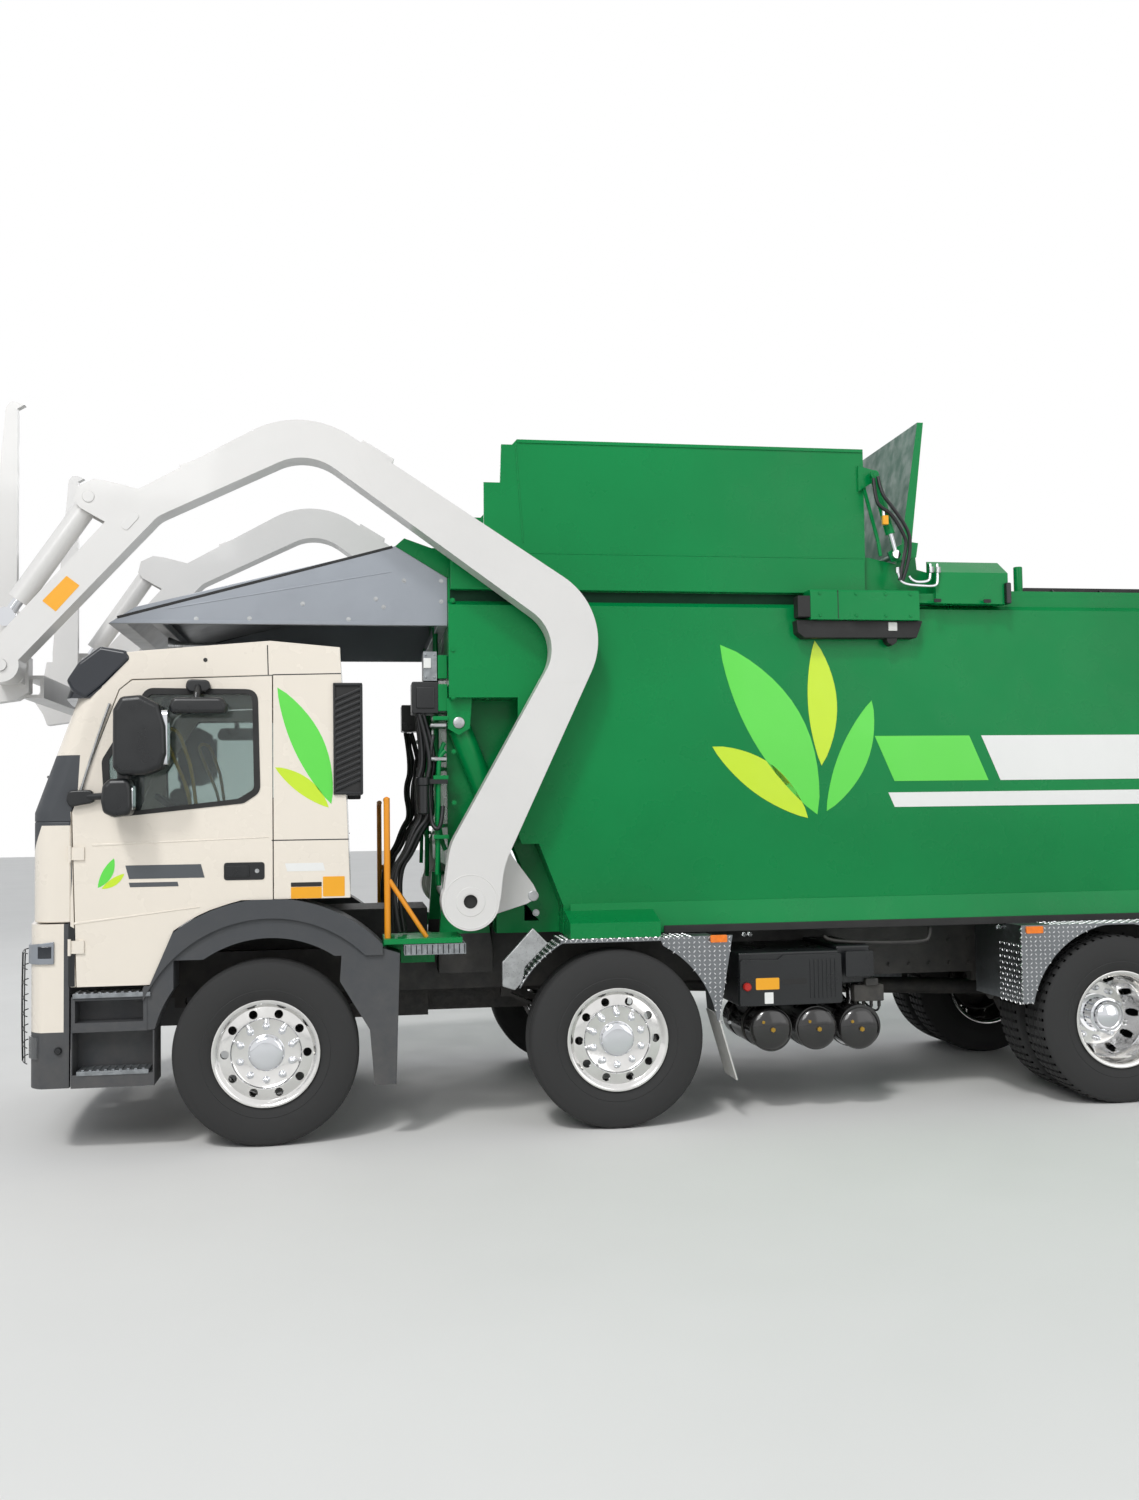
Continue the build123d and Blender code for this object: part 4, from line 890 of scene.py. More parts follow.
# Cab
def patch(node_name, planes, lift, sink=0.004, facing=None):
    """The outer skin of a CAD node inside some cutting planes, made into a raised plate.
    A plane is (point, outward direction), both from the front axle."""
    bm = clean_copy(node_name)
    for point, outward in planes:
        bmesh.ops.bisect_plane(bm, geom=everything(bm), clear_outer=True,
                               plane_co=Vector(point) + Vector((FRONT, 0, 0)), plane_no=outward)
    test = facing or (lambda normal, centre: normal.x + normal.y > 0.2)
    waste = [face for face in bm.faces if not test(face.normal, face.calc_center_median())]
    bmesh.ops.delete(bm, geom=waste, context="FACES")
    bmesh.ops.recalc_face_normals(bm, faces=bm.faces[:])
    flip = [face for face in bm.faces if not test(face.normal, face.calc_center_median())]
    bmesh.ops.reverse_faces(bm, faces=flip)
    bm.normal_update()
    outward = {tuple(vert.co): vert.normal.copy() for vert in bm.verts}
    inner = {vert: vert.co - vert.normal * sink for vert in bm.verts}
    made = bmesh.ops.extrude_face_region(bm, geom=bm.faces[:])["geom"]
    outer = [part for part in made if isinstance(part, bmesh.types.BMVert)]
    for vert in outer:
        vert.co += outward[tuple(vert.co)] * lift
    for vert, place in inner.items():
        if vert.is_valid:
            vert.co = place
    bmesh.ops.translate(bm, vec=(-FRONT, 0, 0), verts=bm.verts[:])
    return bm


DOOR_WINDOW = [(0.061, 2.531), (0.052, 1.984), (0.140, 1.929), (0.841, 1.855), (0.852, 2.159), (0.628, 2.531)]


def split(bm, planes):
    """Cut faces along planes, given from the front axle, so that they can be painted apart."""
    for point, across in planes:
        bmesh.ops.bisect_plane(bm, geom=everything(bm),
                               plane_co=Vector(point) + Vector((FRONT, 0, 0)), plane_no=across)


def two_tone(name, node_name, materials, planes, dark, width):
    """A copy of a node in two finishes, parted by planes."""
    bm = clean_copy(node_name)
    round_edges(bm, width)
    split(bm, planes)
    bmesh.ops.recalc_face_normals(bm, faces=bm.faces[:])
    for face in bm.faces:
        centre = face.calc_center_median() - Vector((FRONT, 0, 0))
        face.material_index = 1 if dark(centre) else 0
    return store(name, bm, body_of(node_name), materials, replaces=[node_name])


def make_cab_shells():
    """Finish of the cab's shell, front, doors, visor, arches, bumper and lamps."""
    cream = cream_enamel()
    dark = grey_plastic()
    edge = sizes().panel_edge

    def pillar_foot(centre):
        return 1.815 < centre.z < 2.186 and centre.x > 0.995 + (2.186 - centre.z) * 0.06

    two_tone("cab_shell_panels", "cab_shell", [cream, dark],
             [((0, 0, 2.186), (0, 0, 1)), ((0.995, 0, 2.186), (1, 0, 0.06))], pillar_foot, edge)

    def grille_part(centre):
        past = (centre.x - 1.208) * 0.94 + (centre.z - 1.777) * 0.342 > 0
        return centre.x > 1.286 or past or centre.z > 1.80

    two_tone("cab_front_lid", "cab_front_panel", [cream, dark],
             [((1.286, 0, 0), (1, 0, 0)), ((1.208, 0, 1.777), (0.94, 0, 0.342)), ((0, 0, 1.80), (0, 0, 1))],
             grille_part, edge)
    for side_name, _ in SIDES:
        soften(f"door_skin_{side_name}", f"door_{side_name}", cream, edge)
        cover(f"door_glass_{side_name}", tinted_glass())
    cover("windscreen", tinted_glass())
    bm = clean_copy("sun_visor")
    bmesh.ops.bisect_plane(bm, geom=everything(bm), clear_outer=True,
                           plane_co=(FRONT + 0.955, 0, 2.492), plane_no=(-0.668, 0, -0.744))
    bmesh.ops.holes_fill(bm, edges=[edge for edge in bm.edges if edge.is_boundary], sides=0)
    round_edges(bm, 0.02)
    bmesh.ops.recalc_face_normals(bm, faces=bm.faces[:])
    store("visor_skin", bm, "chassis", visor_acrylic(), replaces=["sun_visor"])
    bm = bmesh.new()
    slab(bm, rounded([(0.890, 2.790), (0.752, 2.765), (0.724, 2.722), (0.865, 2.574), (0.965, 2.494),
                      (1.040, 2.538),
                      (1.070, 2.600), (1.006, 2.700)], 0.03), 1.170, 1.236)
    make("visor_cheeks", bm, "chassis", visor_acrylic(), bevel=0.020, both=True, smooth=60)
    soften("wheel_arches", "cab_arches", dark, sizes().plastic_edge)

    def bumper_dark(centre):
        return centre.z < 0.675 or centre.x < 1.078 or abs(centre.y) < 0.84

    two_tone("bumper_shell", "front_bumper", [cream, dark],
             [((0, 0, 0.675), (0, 0, 1)), ((1.078, 0, 0), (1, 0, 0)), ((0, 0.84, 0), (0, 1, 0)),
              ((0, -0.84, 0), (0, 1, 0))], bumper_dark, 0.006)
    soften("lamp_lenses", "head_lamps", clear_lens(), 0.004)


def make_front():
    """Grille bars, corner lamps, plugs, wipers, number plate and the wire guards of the lamps."""
    black = black_plastic()
    across = lambda normal, centre: normal.x > 0.4
    for place, height in enumerate((1.70, 1.62, 1.54, 1.46, 1.38)):
        bm = patch("cab_front_panel", [((0, 0, height + 0.016), (0, 0, 1)),
                                       ((0, 0, height - 0.016), (0, 0, -1)),
                                       ((0, 0.86, 0), (0, 1, 0)), ((0, -0.86, 0), (0, -1, 0))],
                   0.012, facing=across)
        make(f"grille_bar_{place}", bm, "chassis", black, bevel=0.003)
    for name, material, planes, lift in (
        ("corner_lamp_housing", silver_paint(),
         [((1.2, 0, 1.158), (0.12, 0, 1)), ((0, 0, 1.046), (0, 0, -1)), ((1.128, 0, 0), (-1, 0, 0)),
          ((0, 0.86, 0), (0, -1, 0))], 0.014),
        ("corner_lamp_window", visor_acrylic(),
         [((0, 0, 1.143), (0, 0, 1)), ((0, 0, 1.078), (0, 0, -1)), ((1.140, 0, 0), (-1, 0, 0)),
          ((1.205, 0, 0), (1, 0, 0)), ((0, 0.86, 0), (0, -1, 0))], 0.017),
        ("fog_lamp", clear_lens(),
         [((0, 0, 0.650), (0, 0, 1)), ((0, 0, 0.532), (0, 0, -1)), ((1.212, 0, 0), (-1, 0, 0)),
          ((0, 0.90, 0), (0, -1, 0))], 0.012),
    ):
        bm = patch("front_bumper", planes, lift)
        make(name, bm, "chassis", material, bevel=0.003, both=True)
    bm = bmesh.new()
    for x, z in ((1.228, 0.983), (1.240, 0.718)):
        turned(bm, [(0.0, 0.0), (0.0, 0.015), (-0.006, 0.019), (-0.03, 0.019), (-0.03, 0.0)],
               (x + 0.012, 1.157, z), Vector((0.72, 0.69, 0)).normalized(), 24)
    turned(bm, [(0.0, 0.0), (0.0, 0.016), (-0.006, 0.02), (-0.02, 0.02), (-0.02, 0.0)], (1.105, 1.244, 0.576),
           (0, 1, 0), 24)
    make("bumper_plugs", bm, "chassis", black, both=True)
    bars = []
    for y, x in ((1.125, 1.300), (1.04, 1.333), (0.95, 1.350), (0.86, 1.360)):
        bars.append([(x, y, 0.50), (x + 0.008, y, 0.80), (x, y, 1.10)])
    for step in range(8):
        z = 0.50 + step * 0.0857
        bars.append([(1.285, 1.15, z), (1.315, 1.10, z), (1.345, 0.98, z), (1.360, 0.86, z),
                     (1.350, 0.83, z)])
    hose("lamp_guards", "chassis", bars, 0.0032, black, both=True)
    wipers = [[(1.268, 0.05, 1.86), (1.262, 0.42, 2.02), (1.255, 0.78, 2.08)],
              [(1.268, -0.62, 1.86), (1.262, -0.25, 2.02), (1.255, 0.12, 2.08)]]
    hose("wiper_arms", "chassis", wipers, 0.008, black)
    shaped("number_plate", block, [((1.352, 1.360), (-0.19, 0.19), (0.93, 1.04))],
           "chassis", label_film(), bevel=0.002)


def make_cab_trim():
    """Side seams, roof drain, plates, the roof unit, air horns, and a steel strip that paints the highlight
    on the front pillar.
    """
    rubber = soft_rubber()
    bm = bmesh.new()
    seam = 0.003
    for start_at, end_at in (((-0.035, 1.700), (-0.463, 1.700)), ((-0.020, 2.632), (-0.016, 2.80)),
                             ((-0.045, 2.632), (-0.425, 2.640))):
        across = (Vector(end_at) - Vector(start_at)).normalized().orthogonal() * seam
        slab(bm, [tuple(Vector(start_at) + across), tuple(Vector(end_at) + across),
                  tuple(Vector(end_at) - across), tuple(Vector(start_at) - across)],
             CAB_Y - 0.002, CAB_Y + 0.0006)
    make("cab_side_seams", bm, "chassis", rubber, both=True)
    bm = bmesh.new()
    turned(bm, [(0.0, 0.0), (0.0, 0.011), (-0.008, 0.013), (-0.008, 0.0)], (0.324, CAB_Y + 0.003, 2.715),
           (0, 1, 0), 20)
    make("roof_drain", bm, "chassis", rubber, both=True)
    bm = bmesh.new()
    for x, z, tall in (((-0.140, -0.310), 1.372, 0.064), ((-0.317, -0.438), 1.380, 0.112)):
        plate(bm, (x[1], x[0]), (z, z + tall), 0.006, CAB_Y - 0.001, CAB_Y + 0.0015)
    make("side_plates", bm, "chassis", label_film(), both=True)
    bm = bmesh.new()
    plate(bm, (-0.310, -0.140), (1.438, 1.462), 0.004, CAB_Y - 0.001, CAB_Y + 0.0016)
    make("side_plate_head", bm, "chassis", rubber, both=True)
    # A bare steel tube on the pillar's shut line paints the bright highlight along the pillar's edge
    pillar = [[(0.837, 1.236, 2.471), (0.916, 1.238, 2.244), (0.990, 1.238, 1.983)]]
    hose("pillar_highlight_strips", "chassis", pillar, 0.007, bare_steel(), both=True)
    shaped("roof_unit", block, [
        ((-0.10, 0.62), (-0.42, 0.42), (2.80, 2.895)),
        ((0.02, 0.50), (-0.30, 0.30), (2.88, 2.925)),
    ], "chassis", black_plastic(), bevel=0.02)
    bm = bmesh.new()
    for y in (-0.62, 0.62):
        rod(bm, (0.10, y, 2.865), (0.52, y, 2.865), 0.022)
        rod(bm, (0.52, y, 2.865), (0.60, y, 2.865), 0.022, 0.055)
        block(bm, (0.20, 0.24), (y - 0.015, y + 0.015), (2.80, 2.86))
    make("air_horns", bm, "chassis", bare_steel(), bevel=0.003)


def make_windows():
    """Black rubber seals round the glass of the doors."""
    rubber = soft_rubber()
    centre = Vector((0.46, 2.2))
    for side_name, side in SIDES:
        bm = bmesh.new()
        wide, narrow = (
            [tuple(Vector(point) + (Vector(point) - centre).normalized() * grow) for point in DOOR_WINDOW]
            for grow in (0.030, -0.010)
        )
        outer, inner = rounded(wide, 0.07, 6), rounded(narrow, 0.04, 6)
        frames = []
        for points in (outer, inner):
            verts = [bm.verts.new((x, CAB_Y, z)) for x, z in points]
            frames += [bm.edges.new(pair) for pair in zip(verts, verts[1:] + verts[:1])]
        bmesh.ops.bridge_loops(bm, edges=frames)
        made = bmesh.ops.extrude_face_region(bm, geom=bm.faces[:])["geom"]
        verts = [part for part in made if isinstance(part, bmesh.types.BMVert)]
        bmesh.ops.translate(bm, vec=(0, 0.004, 0), verts=verts)
        lower = [vert for vert in bm.verts if vert not in verts]
        bmesh.ops.translate(bm, vec=(0, -0.012, 0), verts=lower)
        make_for_side(f"window_seal_{side_name}", bm, side, body_of(f"door_{side_name}"), rubber)


def make_door_trim():
    """Handle, lock and swage lines of each door."""
    for side_name, side in SIDES:
        body = body_of(f"door_{side_name}")
        bm = bmesh.new()
        plate(bm, (0.004, 0.226), (1.482, 1.580), 0.018, CAB_Y - 0.004, CAB_Y + 0.004)
        plate(bm, (0.088, 0.214), (1.500, 1.562), 0.012, CAB_Y + 0.003, CAB_Y + 0.014)
        make_for_side(f"door_handle_{side_name}", bm, side, body, black_plastic(), bevel=0.002)
        bm = bmesh.new()
        slab(bm, [(0.115, 1.374), (0.200, 1.352), (0.300, 1.320), (0.360, 1.294), (0.420, 1.262),
                  (0.470, 1.230),
                  (0.505, 1.205), (0.515, 1.205), (0.440, 1.374)], CAB_Y - 0.030, CAB_Y - 0.0006)
        make_for_side(f"door_lower_edge_{side_name}", bm, side, body, cream_enamel())
        bm = bmesh.new()
        slab(bm, [(1.054, 1.255), (1.020, 1.235), (1.020, 0.920), (1.054, 0.920)], CAB_Y - 0.004,
             CAB_Y + 0.002)
        make_for_side(f"door_front_strip_{side_name}", bm, side, body, black_plastic())
        bm = bmesh.new()
        rod(bm, (0.045, side * CAB_Y, 1.531), (0.045, side * (CAB_Y + 0.007), 1.531), 0.012, steps=20)
        make(f"door_lock_{side_name}", bm, body, bare_steel(), bevel=0.001)
        bm = bmesh.new()
        for start_at, end_at in (((1.03, 1.262), (0.356, 1.338)), ((0.93, 1.690), (-0.02, 1.719))):
            tall = 0.006
            outline = [(start_at[0], start_at[1] - tall), (end_at[0], end_at[1] - tall * 0.3),
                       (end_at[0], end_at[1] + tall * 0.3), (start_at[0], start_at[1] + tall)]
            slab(bm, outline, CAB_Y - 0.002, CAB_Y + 0.0035)
        make_for_side(f"door_swage_{side_name}", bm, side, body, cream_enamel(), bevel=0.002)


def make_intakes():
    """Slatted intake boxes behind the doors."""
    soften("intake_boxes", "air_intakes", black_plastic(), 0.01)
    bm = bmesh.new()
    x_low, x_high = -0.533, -0.389
    face_y = 1.228
    for place in range(16):
        z = 1.972 + place * 0.034
        outline = [(x_low, z + 0.062), (x_high, z), (x_high, z + 0.015), (x_low, z + 0.077)]
        slab(bm, outline, face_y - 0.002, face_y + 0.010)
    make("intake_slats", bm, "chassis", black_plastic(), bevel=0.002, both=True)
    shaped("intake_backs", plate, [((-0.543, -0.379), (1.952, 2.586), 0.02, face_y - 0.010, face_y + 0.001)],
           "chassis", soft_rubber(), both=True)
    bm = bmesh.new()
    for x, z in (((-0.543, -0.530), (1.96, 2.58)), ((-0.392, -0.379), (1.96, 2.58)),
                 ((-0.543, -0.379), (1.952, 1.968)), ((-0.543, -0.379), (2.570, 2.586))):
        slab(bm, box_outline(x, z), face_y - 0.012, face_y + 0.012)
    make("intake_rims", bm, "chassis", black_plastic(), bevel=0.003, both=True)


def make_steps():
    """Grated treads of the cab steps."""
    bm = bmesh.new()
    for x, y, z in (((0.62, 1.03), (1.10, 1.236), 0.868), ((0.63, 1.01), (1.07, 1.234), 0.448)):
        block(bm, x, y, (z - 0.012, z + 0.012))
        count = int((x[1] - x[0]) / 0.04)
        for place in range(count):
            centre = x[0] + 0.03 + place * 0.04
            block(bm, (centre - 0.008, centre + 0.008), (y[0] + 0.02, y[1] - 0.015), (z + 0.011, z + 0.017))
    make("step_treads", bm, "chassis", galvanised_steel(), bevel=0.002, both=True)


def make_interior():
    """Seats as padded forms, dashboard and grab handles."""
    cover("dashboard", trim_plastic())
    cloth = seat_cloth()
    for side_name, side in SIDES:
        low_y, high_y = side * 0.56 - 0.25, side * 0.56 + 0.25
        bm = bmesh.new()
        block(bm, (-0.15, 0.30), (low_y + 0.01, high_y - 0.01), (1.415, 1.64))
        make(f"seat_base_{side_name}", bm, "chassis", trim_plastic(), bevel=0.02)
        bm = bmesh.new()
        block(bm, (-0.20, 0.34), (low_y, high_y), (1.64, 1.76))
        slab(bm, [(-0.20, 1.74), (-0.33, 2.20), (-0.315, 2.24), (-0.215, 2.24), (-0.06, 1.76)], low_y, high_y)
        slab(bm, [(-0.325, 2.26), (-0.345, 2.43), (-0.245, 2.44), (-0.235, 2.26)], low_y + 0.11,
             high_y - 0.11)
        bmesh.ops.subdivide_edges(bm, edges=bm.edges[:], cuts=2, use_grid_fill=True)
        piece = make(f"seat_pad_{side_name}", bm, "chassis", cloth, smooth=80,
                     replaces=["seats"] if side > 0 else None)
        piece.modifiers.remove(piece.modifiers["even_shading"])
        soft = piece.modifiers.new("soft", "SUBSURF")
        soft.levels = soft.render_levels = 2
    handles = [[(0.436, 0.90, 1.80), (0.440, 0.90, 1.96), (0.545, 0.90, 2.20), (0.592, 0.90, 2.335),
                (0.560, 0.90, 2.355),
                (0.509, 0.90, 2.335), (0.470, 0.90, 2.22), (0.430, 0.90, 2.10), (0.400, 0.90, 1.80)]]
    hose("cab_grab_handles", "chassis", handles, 0.011, yellow_enamel(), both=True)


def make_mirrors():
    """Moulded mirror housings on their arms, with silvered glass facing the driver."""
    shells = (
        ([(0.787, 2.110), (0.785, 2.420), (0.745, 2.490), (0.640, 2.500), (0.545, 2.450), (0.510, 2.330),
          (0.506, 2.180), (0.530, 2.100), (0.620, 2.066), (0.750, 2.066)], 1.300, 1.475, 0.030),
        ([(0.850, 1.931), (0.842, 2.013), (0.806, 2.048), (0.706, 2.050), (0.690, 2.000), (0.688, 1.890),
          (0.700, 1.852), (0.780, 1.840), (0.838, 1.865)], 1.290, 1.455, 0.030),
        ([(0.200, 2.402), (0.190, 2.440), (0.215, 2.490), (0.478, 2.490), (0.501, 2.440), (0.490, 2.402)],
         1.290, 1.425, 0.024),
        ([(0.292, 2.548), (0.300, 2.600), (0.420, 2.604), (0.430, 2.552), (0.400, 2.530), (0.320, 2.530)],
         1.224, 1.266, 0.010),
        ([(0.905, 1.925), (1.045, 1.900), (1.062, 1.935), (1.055, 1.990), (0.925, 1.995)], 1.224, 1.262,
         0.010),
    )
    for side_name, side in SIDES:
        body = body_of(f"mirror_{side_name}")
        bm = bmesh.new()
        for outline, low, high, edge in shells:
            part = bmesh.new()
            slab(part, rounded(outline, 0.035), low, high)
            round_edges(part, edge, segments=3)
            copy = bpy.data.meshes.new("part")
            part.to_mesh(copy)
            part.free()
            bm.from_mesh(copy)
            bpy.data.meshes.remove(copy)
        for start_at, end_at, radius in (
            ((0.950, 1.245, 1.955), (0.760, 1.300, 1.962), 0.019),
            ((0.760, 1.300, 1.962), (0.760, 1.350, 1.962), 0.019),
            ((0.715, 1.240, 2.455), (0.715, 1.340, 2.455), 0.014),
            ((0.715, 1.225, 2.455), (0.715, 1.250, 2.455), 0.026),
            ((0.360, 1.250, 2.565), (0.360, 1.330, 2.500), 0.018),
            ((0.360, 1.330, 2.515), (0.360, 1.350, 2.470), 0.018),
            ((0.740, 1.370, 2.035), (0.740, 1.370, 2.085), 0.035),
        ):
            rod(bm, start_at, end_at, radius, steps=20)
        make_for_side(f"mirror_housing_{side_name}", bm, side, body, black_plastic(),
                      replaces=[f"mirror_{side_name}"], smooth=50)
        bm = bmesh.new()
        for x, low, high, y_low, y_high in ((0.506, 2.120, 2.420, 1.330, 1.445),
                                            (0.689, 1.880, 2.010, 1.320, 1.425)):
            slab(bm, rounded([(y_low, low), (y_high, low), (y_high, high), (y_low, high)], 0.03), x - 0.003,
                 x + 0.045,
                 axis="x")
        make_for_side(f"mirror_glass_{side_name}", bm, side, body, chrome())


def make_lamps():
    """Reflectors behind the headlamp lenses, and the small lamps along the body."""
    bm = bmesh.new()
    bowl = [(0.0, 0.052), (-0.02, 0.048), (-0.05, 0.030), (-0.06, 0.012), (-0.06, 0.0), (-0.066, 0.0),
            (-0.066, 0.014), (-0.054, 0.036), (-0.022, 0.056), (0.0, 0.056)]
    for y, z in ((0.945, 0.790), (1.055, 0.790), (0.945, 0.695), (1.055, 0.695)):
        scale = 0.72 if z < 0.75 else 0.95
        turned(bm, [(along * scale, radius * scale) for along, radius in bowl], (1.232, y, z), (1, 0, 0), 24)
    make("lamp_bowls", bm, "chassis", lamp_reflector(), both=True)
    bm = bmesh.new()
    for x_rear, x_front, z_low, z_high in ((-2.652, -2.551, 1.060, 1.104), (-4.640, -4.530, 1.058, 1.102)):
        plate(bm, (x_rear, x_front), (z_low, z_high), 0.008, 1.236, 1.252)
    make("side_markers", bm, "chassis", amber_lens(), bevel=0.003, both=True)
    bm = bmesh.new()
    for x_rear, x_front in ((-2.882, -2.812), (-4.528, -4.457)):
        for step in (0, 1):
            x = x_rear + 0.018 + step * 0.034
            rod(bm, (x, 0.985, 1.080), (x, 1.012, 1.080), 0.013, 0.011, 20)
    make("side_lamps", bm, "chassis", clear_lens(), both=True)


# Arms, forks and cylinders
def make_loader():
    """Finish of the arms, the forks and the three kinds of cylinders."""
    white, green = white_enamel(), green_enamel()
    for name, node_name, enamel, width in (
        ("arm_beams", "lift_arms", white, 0.006),
        ("fork_frame", "forks", white, 0.006),
        ("fork_barrel_skins", "fork_cylinder_barrels", white, 0.004),
        ("lift_barrel_skins", "lift_cylinder_barrels", green, 0.004),
        ("lid_barrel_skins", "lid_cylinder_barrels", green, 0.003),
    ):
        soften(name, node_name, enamel, width)
    for kind in ("fork", "lift", "lid"):
        cover(f"{kind}_cylinder_rods", chrome())


def arm_strip(bm, points, thick, low, high):
    """A bar laid along the arm's edge through a list of points."""
    for start_at, end_at in zip(points, points[1:]):
        way = (Vector(end_at) - Vector(start_at)).normalized()
        up = Vector((-way.y, way.x)) * thick
        slab(bm, [tuple(Vector(start_at) - up), tuple(Vector(end_at) - up), tuple(Vector(end_at) + up),
                  tuple(Vector(start_at) + up)], low, high)


def make_arm_details():
    """Wear plates, weld seams, pins, bosses and plates on the arms."""
    arm_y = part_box("lift_arms")[1].y
    white = white_enamel()
    bm = bmesh.new()
    for points, thick, inner, outer in (
        ([(0.464, 3.807), (0.389, 3.837)], 0.012, 0.15, 0.02),
        ([(0.239, 3.907), (0.217, 3.919)], 0.012, 0.15, 0.02),
        ([(-0.019, 4.048), (-0.325, 4.073)], 0.010, 0.16, 0.012),
        ([(-0.549, 3.977), (-0.728, 3.870)], 0.014, 0.16, 0.012),
    ):
        arm_strip(bm, points, thick, arm_y - inner, arm_y - outer)
    make("arm_wear_plates", bm, "lift_arms", white, bevel=0.003, both=True)
    bm = bmesh.new()
    for seam in ([(-0.600, 3.720), (-0.520, 3.920)], [(-1.830, 2.600), (-1.660, 2.589)]):
        arm_strip(bm, seam, 0.003, arm_y - 0.003, arm_y + 0.0012)
    make("arm_weld_seams", bm, "lift_arms", white, both=True)
    bm = bmesh.new()
    turned(bm, [(0.0, 0.0), (0.0, 0.026), (-0.004, 0.031), (-0.012, 0.031), (-0.012, 0.0)],
           (-1.509, arm_y + 0.006, 1.357), (0, 1, 0), 28)
    make("arm_pin_caps", bm, "lift_arms", bare_steel(), both=True, smooth=35)
    bm = bmesh.new()
    turned(bm, [(0.002, 0.150), (0.002, 0.156), (-0.004, 0.158), (-0.004, 0.148)], (PIVOT_X, arm_y, PIVOT_Z),
           (0, 1, 0), 72)
    start_at, end_at = Vector((0.768, 3.446)), Vector((0.692, 3.534))
    up = Vector((-(end_at - start_at).y, (end_at - start_at).x)).normalized() * 0.024
    corners = [start_at - up, end_at - up, end_at + up, start_at + up]
    slab(bm, rounded([tuple(corner) for corner in corners], 0.022), arm_y - 0.004, arm_y + 0.005)
    make("arm_lug_bosses", bm, "lift_arms", white, bevel=0.002, both=True, smooth=35)
    bm = bmesh.new()
    ring = [(0.0, 0.046), (0.0, 0.082), (-0.004, 0.086), (-0.02, 0.086), (-0.02, 0.046)]
    turned(bm, ring, (PIVOT_X, arm_y + 0.003, PIVOT_Z), (0, 1, 0), 48)
    turned(bm, [(0.0, 0.0), (0.0, 0.03), (-0.004, 0.034), (-0.02, 0.034), (-0.02, 0.0)],
           (0.953, arm_y + 0.006, 3.622), (0, 1, 0), 32)
    make("arm_pin_rings", bm, "lift_arms", white, both=True, smooth=35)
    bm = bmesh.new()
    turned(bm, [(0.0, 0.0), (0.0, 0.043), (-0.05, 0.043), (-0.05, 0.0)], (PIVOT_X, arm_y - 0.025, PIVOT_Z),
           (0, 1, 0), 32)
    make("arm_pin_bores", bm, "lift_arms", soft_rubber(), both=True)
    bm = bmesh.new()
    slab(bm, rounded([(1.067, 3.177), (0.998, 3.124), (1.124, 2.978), (1.195, 3.037)], 0.004), arm_y - 0.001,
         arm_y + 0.0015)
    make("arm_plates", bm, "lift_arms", label_film(), both=True)


# Load body
def make_body():
    """Finish of the load body and its boxes, with skirts, seams and pins, and black slabs that paint the
    shade in the recess under each long box.
    """
    green = green_enamel()
    edge = sizes().panel_edge
    soften("body_panels", "body_shell", green, edge)
    soften("lid_panel", "hopper_lid", [green, worn_enamel()], edge,
           paint=lambda face: 1 if face.normal.x > 0.5 else 0)
    soften("tailgate_panels", "tailgate", green, edge)
    soften("side_box_panels", "side_boxes", green, edge)
    soften("packer_plates", "packer_panel", green, edge)
    soften("canopy_panels", "canopy", silver_paint(), 0.004)
    two_tone("tower_plates", "arm_towers", [green, frame_enamel()], [((0, 0, 1.10), (0, 0, 1))],
             lambda centre: centre.z < 1.10, 0.004)
    shaped("hopper_seams", arm_strip, [
        ([(-1.462, 4.040), (-1.500, 3.450)], 0.004, 1.034, 1.039),
        ([(-1.480, 3.385), (-3.630, 3.385)], 0.004, 1.034, 1.038),
        ([(-1.470, 4.058), (-3.635, 4.058)], 0.010, 1.034, 1.042),
    ], "chassis", green, bevel=0.001, both=True)
    shaped("wing_skirts", block, [((-3.638, -1.064), (0.984, 1.0365), (3.163, 3.384))],
           "chassis", green, bevel=0.006, both=True)
    # A thin dark slab on the recessed wall under each wing, painted as the shade beneath the overhang
    shaped("wing_channel_shade_strips", block, [((-4.500, -1.064), (0.980, 0.9875), (3.098, 3.166))],
           "chassis", channel_enamel(), both=True)
    # Black slabs under the long boxes paint the shade in the recess beneath them
    shaped("box_underside_shade", slab, [
        ([(-3.160, 2.986), (-3.167, 2.908), (-3.208, 2.876), (-3.931, 2.880), (-3.972, 2.986)], 1.028, 1.118),
        ([(-3.733, 2.885), (-3.811, 2.885), (-3.805, 2.855), (-3.775, 2.832), (-3.745, 2.850)], 1.040, 1.110),
    ], "chassis", soft_rubber(), bevel=0.006, both=True)
    shaped("box_tray_lamps", block, [((-3.803, -3.746), (1.112, 1.125), (2.922, 2.976))],
           "chassis", flap_plastic(), bevel=0.004, both=True)
    tree = skin("body_shell")
    bm = bmesh.new()
    place = tree.ray_cast(Vector((FRONT - 1.110, 1.5, 2.374)), Vector((0, -1, 0)))[0]
    turned(bm, [(0.0, 0.0), (0.0, 0.029), (-0.004, 0.034), (-0.02, 0.034), (-0.02, 0.0)],
           (-1.110, place.y + 0.008, 2.374), (0, 1, 0), 32)
    make("lift_pin_caps", bm, "chassis", bare_steel(), both=True)
    bm = bmesh.new()
    for x, z in ((-1.237, 1.070), (-1.388, 1.062), (-1.581, 1.228)):
        place = tree.ray_cast(Vector((FRONT + x, 1.5, z)), Vector((0, -1, 0)))[0]
        if place:
            bolt(bm, (x, place.y, z), (0, 1, 0), 0.028, 0.012)
    make("ledge_bolts", bm, "chassis", bare_steel(), both=True)


